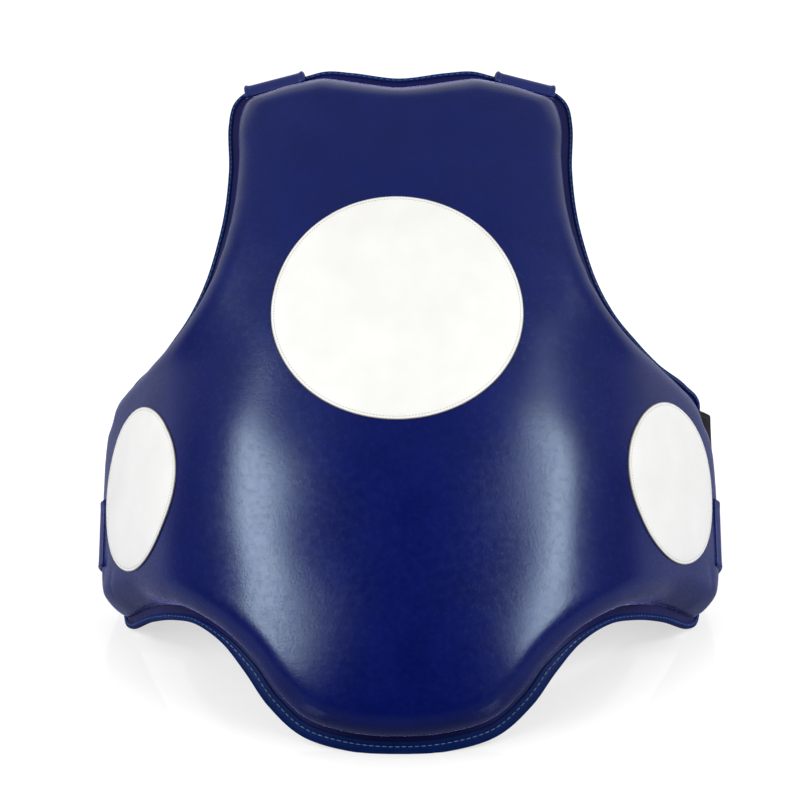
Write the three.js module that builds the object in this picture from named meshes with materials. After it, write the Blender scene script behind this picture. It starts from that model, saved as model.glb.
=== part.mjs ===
// Padded trainer body protector, standing on the floor and leaning back on its waist strap.
// Units are millimetres, +Z is up and the front faces -Y.
import * as THREE from 'three';

// Driving dimensions
const PANEL_THICKNESS = 2.4;
const FLANGE_WIDTH = 14;
const CLEARANCE = 0.3;
const BELLY_DEPTH = 36;
const CHEST_DEPTH = 30;
const WING_DEPTH = 28;
const ROLL_WIDTH = 26;
const ROLL_POWER = 2.4;
const NECK_ROLL_POWER = 1.35;
const PAD_LIP = 1.2;
const BINDING_THICKNESS = 1.2;
const BINDING_WIDTH = 7;
const BINDING_NOSE = 2.4;
const BINDING_FLAT = 1.3;
const BINDING_CLEARANCE = 0.5;
const PATCH_THICKNESS = 1.5;
const PATCH_SEAT = 0.7;
const STRAP_THICKNESS = 3.2;
const SHOULDER_STRAP_WIDTH = 55;
const WAIST_STRAP_WIDTH = 60;
const WAIST_OVERLAP = 60;
const WAIST_REACH = 146;
const WAIST_BOW = 1440;
const TAB_THICKNESS = 2.2;
const TAB_WIDTH = 50;
const WING_SHEAR = 0.06;
const CHEST_WIDENING = 0.26;
const FLOOR_FLAT = 1.3;
const CROSSING_GAP = 14;

// Stretches of the unrolled panel over which one size turns into the next
const WIDENING_SPAN = { from: 320, to: 470 };
const CHEST_SPAN = { from: 200, to: 420 };
const WING_SPAN = { from: 150, to: 260 };
const NECK_SPAN = { from: 530, to: 575 };

// Bend of the panel round the torso: each run ends at the given turn from the front
const TORSO_RUNS = [
  { length: 112, turn: 16.5 },
  { length: 72, turn: 48 },
  { length: 240, turn: 80 },
];

// Bend of the front from the hem up: each run ends at the given tilt back
const FRONT_START_TILT = -20;
const FRONT_RUNS = [
  { length: 90, turn: -8 },
  { length: 110, turn: 0 },
  { length: 130, turn: 6 },
  { length: 120, turn: 12 },
  { length: 170, turn: 14 },
];

// Right half of the finished outline, unrolled: across from the middle, along from the hem
const OUTLINE = [
  { across: 0, along: 0 },
  { across: 40, along: 3.5 },
  { across: 78, along: 16 },
  { across: 106, along: 41 },
  { across: 126, along: 68 },
  { across: 150, along: 93 },
  { across: 182, along: 112 },
  { across: 218, along: 122 },
  { across: 262, along: 128 },
  { across: 319, along: 128 },
  { across: 337, along: 133 },
  { across: 345, along: 150 },
  { across: 346, along: 236 },
  { across: 345, along: 322 },
  { across: 337, along: 338 },
  { across: 319, along: 344 },
  { across: 262, along: 350 },
  { across: 222, along: 363 },
  { across: 190, along: 380 },
  { across: 170, along: 405 },
  { across: 155, along: 452 },
  { across: 150, along: 508 },
  { across: 152, along: 556 },
  { across: 148, along: 579 },
  { across: 137, along: 590 },
  { across: 118, along: 595 },
  { across: 84, along: 599 },
  { across: 64, along: 602 },
  { across: 40, along: 601 },
  { across: 0, along: 596 },
];
const HEM_JOIN = 5;
const REAR_MIDDLE = 12;
const LOW_CORNER = 10;
const HIGH_CORNER = 14;
const ARMHOLE_JOIN = 19;
const SHOULDER_CORNER = 24;

// Leather discs on the pad: middle of each in the unrolled outline
const PATCHES = [
  { name: 'chest_patch', across: -2, along: 359, radius: 97, spokes: 32, rings: 5 },
  { name: 'side_patch_left', across: -239, along: 230, radius: 68, spokes: 28, rings: 5 },
  { name: 'side_patch_right', across: 240, along: 234, radius: 68, spokes: 28, rings: 5 },
];

// Edges and middle of a shoulder strap, as fractions from the shoulder's corner to the neck's middle
const SHOULDER_PLACES = [0.04, 0.22, 0.4];
const SHOULDER_TUCK = 11.5;
const SHOULDER_FOLD = [0, 30, 60, 90, 125];
const SHOULDER_STEPS = 18;

// Heights on the wing's rear edge of the waist strap and of the tab
const WAIST_ALONG = 200;
const TAB_ALONG = 300;

// Webbing tab round the rear edge of a wing: distance back from the edge and off the panel's middle
const TAB_TURN = [
  { back: -11, off: 4.4 },
  { back: 3, off: 5.4 },
  { back: 14, off: 9.5 },
  { back: 24, off: 9.5 },
  { back: 30, off: 2 },
  { back: 28, off: -8 },
  { back: 20, off: -22 },
  { back: 12, off: -36 },
];

// Where the shoulder strap leaves, settles on and ends at the tab, as fractions of the tab's last leg
const LAP = { leave: 1.875, settle: 0.875, end: -0.375 };

// Way of the waist strap: across its sewn end, past the edge, beside the wearer and behind
const WAIST_ROOT = 312;
const WAIST_CLEAR = 324;
const WAIST_TURN = { back: 14, off: 7 };
const WAIST_SIDE = { inset: 12, back: 74, lift: 8 };
const WAIST_CORNER = 170;
const WAIST_BACK = [80, 0, -WAIST_OVERLAP];
const WAIST_STEPS = 28;

// Grid lines of the pad, as distances from its edge
const EDGE_STEPS = [0, 3, 8, 16, 27];

// Sides of the pad's grid: usual length and number of even steps between the fine ones
const ACROSS_SIDE = { length: 270, steps: 9, fineStart: true };
const LOW_SIDE = { length: 285, steps: 4, fineStart: true };
const HIGH_SIDE = { length: 185, steps: 4, fineStart: false };
const WING_SIDE = { length: 175, steps: 7, fineStart: false };

// Rows of the outline over which its direction is taken
const TURN_ROWS = 0.6;

const LEATHER = new THREE.MeshStandardMaterial({ color: 0x17206a, roughness: 0.42, metalness: 0 });
const LINING = new THREE.MeshStandardMaterial({ color: 0x141b56, roughness: 0.6, metalness: 0 });
const BINDING = new THREE.MeshStandardMaterial({ color: 0x122a6e, roughness: 0.7, metalness: 0 });
const WHITE = new THREE.MeshStandardMaterial({ color: 0xf6f6f4, roughness: 0.5, metalness: 0 });
const STRAP = new THREE.MeshStandardMaterial({ color: 0x151d5e, roughness: 0.5, metalness: 0 });
const WEBBING = new THREE.MeshStandardMaterial({ color: 0x0d0d0f, roughness: 0.8, metalness: 0 });

const radians = THREE.MathUtils.degToRad;
const lerp = THREE.MathUtils.lerp;
const eased = (value, span) => THREE.MathUtils.smoothstep(value, span.from, span.to);
const vec = (x, y, z) => new THREE.Vector3(x, y, z);
const flat = (x, y) => new THREE.Vector2(x, y);

// Point at a distance along a chain of arcs: run ahead, rise aside
function alongArcs(startTurn, runs, distance) {
  let turn = radians(startTurn);
  let run = 0;
  let rise = 0;
  let left = distance;
  runs.forEach((row, index) => {
    const last = index === runs.length - 1;
    const step = last ? left : Math.min(left, row.length);
    const bend = (radians(row.turn) - radians(index ? runs[index - 1].turn : startTurn)) / row.length;
    const next = turn + bend * step;
    run += (Math.sin(next) - Math.sin(turn)) / bend;
    rise += (Math.cos(turn) - Math.cos(next)) / bend;
    turn = next;
    left -= step;
  });
  return { run, rise };
}

// Middle of the backing panel at an unrolled point
function panelPoint(across, along) {
  const widen = 1 - CHEST_WIDENING * eased(along, WIDENING_SPAN);
  const round = alongArcs(0, TORSO_RUNS, Math.abs(across) * widen);
  const front = alongArcs(FRONT_START_TILT, FRONT_RUNS, along);
  const depth = round.rise / widen;
  const side = (round.run / widen) * Math.sign(across);
  return vec(side + WING_SHEAR * depth, depth + front.rise, front.run);
}

function panelFrame(across, along) {
  const reach = 0.5;
  const sideways = panelPoint(across + reach, along).sub(panelPoint(across - reach, along)).normalize();
  const upward = panelPoint(across, along + reach).sub(panelPoint(across, along - reach)).normalize();
  const outward = vec(0, 0, 0).crossVectors(sideways, upward).normalize();
  return { sideways, upward, outward };
}

// Point at a height off the middle of the panel
function lifted(point, height) {
  return panelPoint(point.x, point.y).addScaledVector(panelFrame(point.x, point.y).outward, height);
}

// The closed outline, as a curve whose parameter counts the rows
const mirroredRow = (row) => ({ across: -row.across, along: row.along });
const mirroredRows = OUTLINE.slice(1, -1).reverse().map(mirroredRow);
const allRows = OUTLINE.concat(mirroredRows);
const outlineCurve = new THREE.CatmullRomCurve3(
  allRows.map((row) => vec(row.across, row.along, 0)), true, 'centripetal');

function outlineAt(row) {
  const point = outlineCurve.getPoint(((row / allRows.length) % 1 + 1) % 1);
  return flat(point.x, point.y);
}

// Unit direction into the panel, smoothed over a short stretch of the outline
function inwardAt(row) {
  const ahead = outlineAt(row + TURN_ROWS).sub(outlineAt(row - TURN_ROWS)).normalize();
  return flat(-ahead.y, ahead.x);
}

// Rows of the outline at fractions of the length between two rows
function rowsAlong(from, to, fractions) {
  const count = 200;
  const rows = Array.from({ length: count + 1 }, (_, i) => from + ((to - from) * i) / count);
  const lengths = [0];
  for (let i = 1; i <= count; i += 1) {
    lengths.push(lengths[i - 1] + outlineAt(rows[i]).distanceTo(outlineAt(rows[i - 1])));
  }
  return fractions.map((fraction) => {
    const wanted = fraction * lengths[count];
    let i = 1;
    while (i < count && lengths[i] < wanted) {
      i += 1;
    }
    const part = (wanted - lengths[i - 1]) / (lengths[i] - lengths[i - 1]);
    return rows[i - 1] + part * (rows[i] - rows[i - 1]);
  });
}

// Fractions of a side's length: fine steps at its end, and at its start where it has them, else even ones
function fractionsFor(side) {
  const start = side.fineStart ? EDGE_STEPS : [0];
  const end = EDGE_STEPS.map((step) => side.length - step).reverse();
  const from = start[start.length - 1];
  const to = end[0];
  const evenStep = (i) => from + ((to - from) * (i + 1)) / side.steps;
  const middle = Array.from({ length: side.steps - 1 }, (_, i) => evenStep(i));
  return start.concat(middle, end).map((step) => step / side.length);
}

const acrossFractions = fractionsFor(ACROSS_SIDE);
const lowFractions = fractionsFor(LOW_SIDE);
const highFractions = fractionsFor(HIGH_SIDE);
const wingFractions = fractionsFor(WING_SIDE);

// Edge nodes: a row of the outline with its point on the outline and on the pad's edge
function edgeNode(row) {
  const outer = outlineAt(row);
  const inner = outer.clone().addScaledVector(inwardAt(row), FLANGE_WIDTH);
  return { row, outer, inner };
}

const nodesBetween = (from, to, fractions) => rowsAlong(from, to, fractions).map(edgeNode);
const ROWS = allRows.length;
const lobeNodes = nodesBetween(-HEM_JOIN, HEM_JOIN, acrossFractions);
const neckNodes = nodesBetween(ROWS - SHOULDER_CORNER, SHOULDER_CORNER, acrossFractions);
const archNodes = nodesBetween(HEM_JOIN, LOW_CORNER, wingFractions);
const rearNodes = nodesBetween(LOW_CORNER, HIGH_CORNER, lowFractions);
const underarmNodes = nodesBetween(ARMHOLE_JOIN, HIGH_CORNER, wingFractions);
const armholeNodes = nodesBetween(ARMHOLE_JOIN, SHOULDER_CORNER, highFractions);

const mirrored = (point) => flat(-point.x, point.y);
const mirroredNode = (node) => ({ outer: mirrored(node.outer), inner: mirrored(node.inner) });
const inner = (nodes) => nodes.map((node) => node.inner);

// Straight line of points between two nodes
function lineBetween(start, end, fractions) {
  return fractions.map((fraction) => start.clone().lerp(end, fraction));
}

// Fractions of a polyline's own length at each of its points
function ownFractions(points) {
  const lengths = [0];
  for (let i = 1; i < points.length; i += 1) {
    lengths.push(lengths[i - 1] + points[i].distanceTo(points[i - 1]));
  }
  return lengths.map((length) => length / lengths[lengths.length - 1]);
}

// Grid of points blended from four edges
function blendedGrid(bottom, top, left, right) {
  const us = ownFractions(top);
  const vs = ownFractions(left);
  const columns = bottom.length - 1;
  const rows = left.length - 1;
  return vs.map((v, j) => us.map((u, i) => {
    const point = flat(0, 0);
    point.addScaledVector(bottom[i], 1 - v).addScaledVector(top[i], v);
    point.addScaledVector(left[j], 1 - u).addScaledVector(right[j], u);
    point.addScaledVector(bottom[0], -(1 - u) * (1 - v)).addScaledVector(bottom[columns], -u * (1 - v));
    point.addScaledVector(left[rows], -(1 - u) * v).addScaledVector(right[rows], -u * v);
    return point;
  }));
}

function cellsOf(grid) {
  const cells = [];
  for (let j = 0; j + 1 < grid.length; j += 1) {
    for (let i = 0; i + 1 < grid[j].length; i += 1) {
      cells.push([grid[j][i], grid[j][i + 1], grid[j + 1][i + 1], grid[j + 1][i]]);
    }
  }
  return cells;
}

const mirroredCells = (cells) => cells.map((cell) => cell.map(mirrored).reverse());

// Cells of the pad: the middle block and a wing at either side
const joinLine = lineBetween(lobeNodes[lobeNodes.length - 1].inner, armholeNodes[0].inner, lowFractions);
const middleRight = joinLine.concat(inner(armholeNodes).slice(1));
const middleGrid = blendedGrid(
  inner(lobeNodes), inner(neckNodes), middleRight.map(mirrored), middleRight);
const wingGrid = blendedGrid(inner(archNodes), inner(underarmNodes), joinLine, inner(rearNodes));
const wingCells = cellsOf(wingGrid);
const padCells = cellsOf(middleGrid).concat(wingCells, mirroredCells(wingCells));

// The whole edge in order, once round
const rightEdge = archNodes.slice(0, -1).concat(
  rearNodes.slice(0, -1), underarmNodes.slice(1).reverse(), armholeNodes.slice(0, -1));
const leftEdge = rightEdge.map(mirroredNode).reverse();
const edgeLoop = lobeNodes.slice(0, -1).concat(
  rightEdge, neckNodes.slice().reverse(), leftEdge.slice(0, -1));

const flangeCells = edgeLoop.map((node, i) => {
  const next = edgeLoop[(i + 1) % edgeLoop.length];
  return [node.outer, next.outer, next.inner, node.inner];
});

function distanceToPadEdge(point) {
  const nearest = new THREE.Vector3();
  const line = new THREE.Line3();
  let best = Infinity;
  edgeLoop.forEach((node, i) => {
    const next = edgeLoop[(i + 1) % edgeLoop.length];
    line.start.set(node.inner.x, node.inner.y, 0);
    line.end.set(next.inner.x, next.inner.y, 0);
    line.closestPointToPoint(vec(point.x, point.y, 0), true, nearest);
    best = Math.min(best, Math.hypot(nearest.x - point.x, nearest.y - point.y));
  });
  return best;
}

// Thickness of the pad: full inside, rolled down to a lip at its edge
function padThickness(point) {
  const frontDepth = lerp(BELLY_DEPTH, CHEST_DEPTH, eased(point.y, CHEST_SPAN));
  const full = lerp(frontDepth, WING_DEPTH, eased(Math.abs(point.x), WING_SPAN));
  const inside = 1 - Math.min(distanceToPadEdge(point) / ROLL_WIDTH, 1);
  const power = lerp(ROLL_POWER, NECK_ROLL_POWER, eased(point.y, NECK_SPAN));
  return PAD_LIP + (full - PAD_LIP) * Math.pow(1 - Math.pow(inside, power), 1 / power);
}

const PAD_BASE = PANEL_THICKNESS / 2 + CLEARANCE;
const padTop = (point) => PAD_BASE + padThickness(point);

function meshFrom(name, points, triangles, material) {
  const geometry = new THREE.BufferGeometry();
  const coordinates = points.flatMap((point) => point.toArray());
  geometry.setAttribute('position', new THREE.Float32BufferAttribute(coordinates, 3));
  geometry.setIndex(triangles.flat());
  geometry.computeVertexNormals();
  const mesh = new THREE.Mesh(geometry, material);
  mesh.name = name;
  return mesh;
}

// Two triangles of a quad, split over its shorter diagonal
function quadTriangles(points, a, b, c, d) {
  const straight = points[a].distanceTo(points[c]) <= points[b].distanceTo(points[d]);
  return straight ? [[a, b, c], [a, c, d]] : [[a, b, d], [b, c, d]];
}

// Closed solid over unrolled cells, between two heights off the panel
function layer(name, cells, lowHeight, highHeight, material) {
  const order = new Map();
  const nodes = [];
  const indexOf = (point) => {
    const key = `${Math.round(point.x * 100)},${Math.round(point.y * 100)}`;
    if (!order.has(key)) {
      order.set(key, nodes.length);
      nodes.push(point);
    }
    return order.get(key);
  };
  const faces = cells.map((cell) => cell.map(indexOf));
  const high = nodes.map((node) => lifted(node, highHeight(node)));
  const low = nodes.map((node) => lifted(node, lowHeight(node)));
  const points = high.concat(low);
  const count = nodes.length;
  const triangles = [];
  const open = new Map();
  faces.forEach((face) => {
    quadTriangles(high, ...face).forEach(([a, b, c]) => {
      triangles.push([a, b, c], [c + count, b + count, a + count]);
    });
    face.forEach((from, i) => {
      const to = face[(i + 1) % 4];
      if (!open.delete(`${to},${from}`)) {
        open.set(`${from},${to}`, [from, to]);
      }
    });
  });
  open.forEach(([from, to]) => {
    triangles.push([from, from + count, to + count], [from, to + count, to]);
  });
  return meshFrom(name, points, triangles, material);
}

// Closed solid swept through sections of equal size, joined end to end or capped
function swept(name, sections, closed, material) {
  const size = sections[0].length;
  const points = sections.flat();
  const triangles = [];
  const spans = closed ? sections.length : sections.length - 1;
  for (let i = 0; i < spans; i += 1) {
    const here = i * size;
    const there = ((i + 1) % sections.length) * size;
    for (let k = 0; k < size; k += 1) {
      const next = (k + 1) % size;
      triangles.push(...quadTriangles(points, here + k, there + k, there + next, here + next));
    }
  }
  if (!closed) {
    const last = (sections.length - 1) * size;
    for (let k = 1; k + 1 < size; k += 1) {
      triangles.push([0, k, k + 1], [last, last + k + 1, last + k]);
    }
  }
  return meshFrom(name, points, triangles, material);
}

// U-shaped section of the binding at an edge node, out from the panel's edge and off its middle
const BINDING_INSIDE = PANEL_THICKNESS / 2 + BINDING_CLEARANCE;
const BINDING_OUTSIDE = BINDING_INSIDE + BINDING_THICKNESS;
const BINDING_SECTION = [
  { out: -BINDING_WIDTH, off: BINDING_INSIDE },
  { out: CLEARANCE, off: BINDING_INSIDE },
  { out: CLEARANCE, off: -BINDING_INSIDE },
  { out: -BINDING_WIDTH, off: -BINDING_INSIDE },
  { out: -BINDING_WIDTH, off: -BINDING_OUTSIDE },
  { out: CLEARANCE, off: -BINDING_OUTSIDE },
  { out: BINDING_NOSE, off: -BINDING_FLAT },
  { out: BINDING_NOSE, off: BINDING_FLAT },
  { out: CLEARANCE, off: BINDING_OUTSIDE },
  { out: -BINDING_WIDTH, off: BINDING_OUTSIDE },
];

// Frame at an edge node: its point, and the directions out of the panel and off its face
function edgeFrame(node) {
  const point = panelPoint(node.outer.x, node.outer.y);
  const out = point.clone().sub(panelPoint(node.inner.x, node.inner.y)).normalize();
  const off = panelFrame(node.outer.x, node.outer.y).outward;
  return { point, out, off };
}

function fromEdge(frame, out, off) {
  return frame.point.clone().addScaledVector(frame.out, out).addScaledVector(frame.off, off);
}

function bindingSections() {
  return edgeLoop.map((node) => {
    const frame = edgeFrame(node);
    return BINDING_SECTION.map((corner) => fromEdge(frame, corner.out, corner.off));
  });
}

// Leather disc laid on the pad's own faces
function patchOn(pad, row) {
  const ray = new THREE.Raycaster();
  const seat = (point) => {
    const outward = panelFrame(point.x, point.y).outward;
    ray.set(lifted(point, 120), outward.clone().negate());
    const base = ray.intersectObject(pad)[0].point;
    const under = base.clone().addScaledVector(outward, PATCH_SEAT);
    return { under, over: base.addScaledVector(outward, PATCH_SEAT + PATCH_THICKNESS) };
  };
  const seats = [seat(flat(row.across, row.along))];
  for (let ring = 1; ring <= row.rings; ring += 1) {
    for (let spoke = 0; spoke < row.spokes; spoke += 1) {
      const angle = (2 * Math.PI * spoke) / row.spokes;
      const reach = (row.radius * ring) / row.rings;
      seats.push(seat(flat(row.across + reach * Math.cos(angle), row.along + reach * Math.sin(angle))));
    }
  }
  const count = seats.length;
  const points = seats.map((s) => s.over).concat(seats.map((s) => s.under));
  const triangles = [];
  const at = (ring, spoke) => (ring ? 1 + (ring - 1) * row.spokes + (spoke % row.spokes) : 0);
  for (let spoke = 0; spoke < row.spokes; spoke += 1) {
    const disc = [[0, at(1, spoke), at(1, spoke + 1)]];
    for (let ring = 1; ring < row.rings; ring += 1) {
      disc.push(...quadTriangles(
        points, at(ring, spoke), at(ring + 1, spoke), at(ring + 1, spoke + 1), at(ring, spoke + 1)));
    }
    disc.forEach(([a, b, c]) => triangles.push([a, b, c], [c + count, b + count, a + count]));
    const from = at(row.rings, spoke);
    const to = at(row.rings, spoke + 1);
    triangles.push([from, from + count, to + count], [from, to + count, to]);
  }
  return meshFrom(row.name, points, triangles, WHITE);
}

// Flat strip along a path of nodes {at, wide}: wide is the strip's direction across
function strip(name, nodes, width, thickness, material) {
  const sections = nodes.map((node, i) => {
    const before = nodes[Math.max(i - 1, 0)].at;
    const after = nodes[Math.min(i + 1, nodes.length - 1)].at;
    const ahead = after.clone().sub(before).normalize();
    const wide = node.wide.clone().addScaledVector(ahead, -node.wide.dot(ahead)).normalize();
    const thick = vec(0, 0, 0).crossVectors(ahead, wide).normalize();
    const corner = (side, face) => node.at.clone()
      .addScaledVector(wide, (side * width) / 2).addScaledVector(thick, (face * thickness) / 2);
    return [corner(-1, 1), corner(1, 1), corner(1, -1), corner(-1, -1)].map(onFloor);
  });
  return swept(name, sections, false, material);
}

// Even nodes on a smooth path through the given ones
function smoothNodes(nodes, count) {
  const curve = new THREE.CatmullRomCurve3(nodes.map((node) => node.at), false, 'centripetal');
  return Array.from({ length: count + 1 }, (_, i) => {
    const place = (i / count) * (nodes.length - 1);
    const low = Math.min(Math.floor(place), nodes.length - 2);
    const wide = nodes[low].wide.clone().lerp(nodes[low + 1].wide, place - low);
    return { at: curve.getPoint(i / count), wide };
  });
}

// How far the part leans back for the hem's front and the low wing corners to meet the floor
function restingLean(points, isFront, isCorner) {
  const lowest = (angle, test) => Math.min(...points.filter(test).map(
    (p) => p.z * Math.cos(angle) - p.y * Math.sin(angle)));
  let low = radians(10);
  let high = radians(60);
  for (let step = 0; step < 40; step += 1) {
    const angle = (low + high) / 2;
    if (lowest(angle, isCorner) > lowest(angle, isFront)) {
      low = angle;
    } else {
      high = angle;
    }
  }
  return (low + high) / 2;
}

const noses = edgeLoop.map((node) => fromEdge(edgeFrame(node), BINDING_NOSE, 0));
const lean = restingLean(noses, (p) => Math.abs(p.x) < 80, (p) => Math.abs(p.x) > 200);
const leanMatrix = new THREE.Matrix4().makeRotationX(-lean);
const floorLevel = Math.min(...noses.map((p) => p.clone().applyMatrix4(leanMatrix).z)) + FLOOR_FLAT;

const leaned = (p) => p.clone().applyMatrix4(leanMatrix).sub(vec(0, 0, floorLevel));
const leanedWay = (way) => way.clone().applyMatrix4(leanMatrix);
const onFloor = (p) => p.setZ(Math.max(p.z, 0));

function leanMesh(mesh) {
  mesh.geometry.applyMatrix4(leanMatrix);
  mesh.geometry.translate(0, 0, -floorLevel);
  return mesh;
}

// Frame of the rear edge of a wing at a height, leaned: back along the wing, up the edge, off its face
function rearFrame(side, along) {
  const across = side * OUTLINE[REAR_MIDDLE].across;
  const frame = panelFrame(across, along);
  return {
    point: leaned(panelPoint(across, along)),
    back: leanedWay(frame.sideways).multiplyScalar(side),
    up: leanedWay(frame.upward),
    off: leanedWay(frame.outward),
  };
}

function fromRear(frame, back, off) {
  return frame.point.clone().addScaledVector(frame.back, back).addScaledVector(frame.off, off);
}

// Webbing tab that turns round the rear edge of a wing to meet the shoulder strap
function strapTab(name, side) {
  const frame = rearFrame(side, TAB_ALONG);
  const nodes = TAB_TURN.map((row) => ({ at: fromRear(frame, row.back, row.off), wide: frame.up }));
  return strip(name, nodes, TAB_WIDTH, TAB_THICKNESS, WEBBING);
}

// Shoulder strap: sewn on the flange, over the shoulder, across the back to the other wing's tab
const STRAP_SEAT = BINDING_OUTSIDE + CLEARANCE + STRAP_THICKNESS / 2;

function shoulderNodes(side, setBack) {
  const rows = rowsAlong(SHOULDER_CORNER, OUTLINE.length - 1, SHOULDER_PLACES);
  const [outer, node, inside] = rows.map(edgeNode).map((n) => (side > 0 ? n : mirroredNode(n)));
  const edge = edgeFrame(node);
  const neckline = edgeFrame(outer).point.sub(edgeFrame(inside).point);
  const along = leanedWay(neckline.multiplyScalar(side).normalize());
  const seat = (out, off) => ({ at: leaned(fromEdge(edge, out, off)), wide: along });
  const fold = SHOULDER_FOLD.map((degrees) => {
    const turn = radians(degrees);
    return seat(1 + STRAP_SEAT * Math.sin(turn), STRAP_SEAT * Math.cos(turn));
  });
  const top = fold[fold.length - 1].at;
  const rear = rearFrame(-side, TAB_ALONG);
  const join = TAB_THICKNESS / 2 + CLEARANCE + STRAP_THICKNESS / 2;
  const [legStart, legEnd] = TAB_TURN.slice(-2).map((row) => fromRear(rear, row.back, row.off));
  const legWay = legEnd.clone().sub(legStart).normalize();
  const behind = vec(0, 0, 0).crossVectors(rear.up, legWay).multiplyScalar(side).normalize();
  const onLeg = (place) => legStart.clone().lerp(legEnd, place).addScaledVector(behind, join);
  const leave = onLeg(LAP.leave);
  const backWay = [
    { part: 0.04, drop: 40, back: 4, wide: along },
    { part: 0.17, drop: 98, back: 12 + setBack, wide: vec(0.94, 0, -0.34 * side) },
    { part: 0.38, drop: 150, back: 22 + setBack, wide: vec(0.8, 0, -0.6 * side) },
    { part: 0.62, drop: 205, back: 24 + setBack / 2, wide: vec(0.6, 0.1, -0.8 * side) },
    { part: 0.85, drop: 248, back: 12, wide: vec(0.35, 0.25, -0.9 * side) },
  ];
  const hanging = backWay.map((row) => {
    const at = top.clone().lerp(leave, row.part);
    at.z = top.z - row.drop;
    at.y += row.back;
    return { at, wide: row.wide };
  });
  const endWide = rear.up.clone().multiplyScalar(-side);
  const path = [{ at: top, wide: along }, ...hanging, { at: leave, wide: endWide }];
  const swing = smoothNodes(path, SHOULDER_STEPS).slice(1);
  const lap = [LAP.settle, LAP.end].map((place) => ({ at: onLeg(place), wide: endWide }));
  return [seat(-SHOULDER_TUCK, STRAP_SEAT), ...fold, ...swing, ...lap];
}

// Waist strap: from the outside of a wing round the back, standing on the floor behind
function waistNodes(side, inset) {
  const start = rearFrame(side, WAIST_ALONG);
  const root = flat(side * WAIST_ROOT, WAIST_ALONG);
  const clear = flat(side * WAIST_CLEAR, WAIST_ALONG);
  const seat = (point) => lifted(point, padTop(point) + 2 * CLEARANCE + STRAP_THICKNESS / 2);
  const low = WAIST_STRAP_WIDTH / 2;
  const behind = (across) => start.point.y + WAIST_REACH - (across * across) / WAIST_BOW;
  const beside = start.point.clone().add(vec(-side * WAIST_SIDE.inset, WAIST_SIDE.back, 0));
  beside.setZ(low + WAIST_SIDE.lift);
  const backNodes = WAIST_BACK.map((across) => ({
    at: vec(side * across, behind(across) - inset, low),
    wide: vec(0, 0, 1),
  }));
  const nodes = [
    { at: leaned(seat(root)), wide: start.up },
    { at: leaned(seat(clear)), wide: start.up },
    { at: fromRear(start, WAIST_TURN.back, WAIST_TURN.off), wide: start.up },
    { at: beside, wide: vec(0, 0.3, 0.95) },
    { at: vec(side * WAIST_CORNER, behind(WAIST_CORNER), low), wide: vec(0, 0, 1) },
    ...backNodes,
  ];
  return smoothNodes(nodes, WAIST_STEPS);
}

// Assembly
const part = new THREE.Group();
part.name = 'trainer_body_protector';

const panelCells = padCells.concat(flangeCells);
const halfPanel = PANEL_THICKNESS / 2;
const padMesh = layer('body_pad', padCells, () => PAD_BASE, padTop, LEATHER);
const panelMesh = layer('backing_panel', panelCells, () => -halfPanel, () => halfPanel, LINING);
const bindingSectionsLeaned = bindingSections().map((section) => section.map((p) => onFloor(leaned(p))));
const bindingMesh = swept('edge_binding', bindingSectionsLeaned, true, BINDING);
const patchMeshes = PATCHES.map((row) => patchOn(padMesh, row));

[padMesh, panelMesh, ...patchMeshes].forEach(leanMesh);
part.add(padMesh, panelMesh, bindingMesh, ...patchMeshes);

// The right shoulder strap passes behind the left one, and the right waist strap in front of the left one
const SIDES = [
  { name: 'left', side: -1, setBack: 0, inset: 0 },
  { name: 'right', side: 1, setBack: CROSSING_GAP, inset: STRAP_THICKNESS + 2 * CLEARANCE },
];

SIDES.forEach((row) => {
  const shoulder = shoulderNodes(row.side, row.setBack);
  const waist = waistNodes(row.side, row.inset);
  part.add(strip(`shoulder_strap_${row.name}`, shoulder, SHOULDER_STRAP_WIDTH, STRAP_THICKNESS, STRAP));
  part.add(strapTab(`strap_tab_${row.name}`, row.side));
  part.add(strip(`waist_strap_${row.name}`, waist, WAIST_STRAP_WIDTH, STRAP_THICKNESS, STRAP));
});

// Origin at the middle of the footprint, on the floor
const box = new THREE.Box3().setFromObject(part, true);
const middle = box.getCenter(vec(0, 0, 0));
part.children.forEach((mesh) => mesh.geometry.translate(-middle.x, -middle.y, 0));

export default part;
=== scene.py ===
"""Looks of a padded trainer body protector: a navy leather pad with a bound edge, white discs and a harness.

Shapes are worked out in millimetres, first on the unrolled panel and then on the standing part.
Meshes are in metres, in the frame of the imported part.
"""

import logging
import math
from dataclasses import dataclass, field, replace
from enum import Enum, IntEnum

import bpy
import numpy as np
from mathutils import Matrix, Vector
from mathutils.bvhtree import BVHTree


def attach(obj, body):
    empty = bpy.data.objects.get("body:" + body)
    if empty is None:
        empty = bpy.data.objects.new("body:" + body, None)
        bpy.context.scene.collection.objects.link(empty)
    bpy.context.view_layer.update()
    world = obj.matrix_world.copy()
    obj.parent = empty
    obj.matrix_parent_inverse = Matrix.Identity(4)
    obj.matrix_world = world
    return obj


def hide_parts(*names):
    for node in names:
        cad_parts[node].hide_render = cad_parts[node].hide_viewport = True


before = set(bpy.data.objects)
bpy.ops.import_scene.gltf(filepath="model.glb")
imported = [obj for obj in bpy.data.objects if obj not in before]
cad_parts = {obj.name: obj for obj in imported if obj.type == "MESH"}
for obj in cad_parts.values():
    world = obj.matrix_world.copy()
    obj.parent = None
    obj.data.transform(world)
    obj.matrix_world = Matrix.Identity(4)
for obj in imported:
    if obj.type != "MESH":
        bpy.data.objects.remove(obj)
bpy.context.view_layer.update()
BODY = "root"
MILLIMETRE = 0.001
CLEARANCE = 0.3
CHUNK_POINTS = 2000
FACE_WAY = "face_way"

Array = np.ndarray
Material = bpy.types.Material
Mesh = bpy.types.Mesh
Piece = bpy.types.Object
Socket = bpy.types.NodeSocket
Colour = tuple[float, float, float, float]
Span = tuple[float, float]

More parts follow.
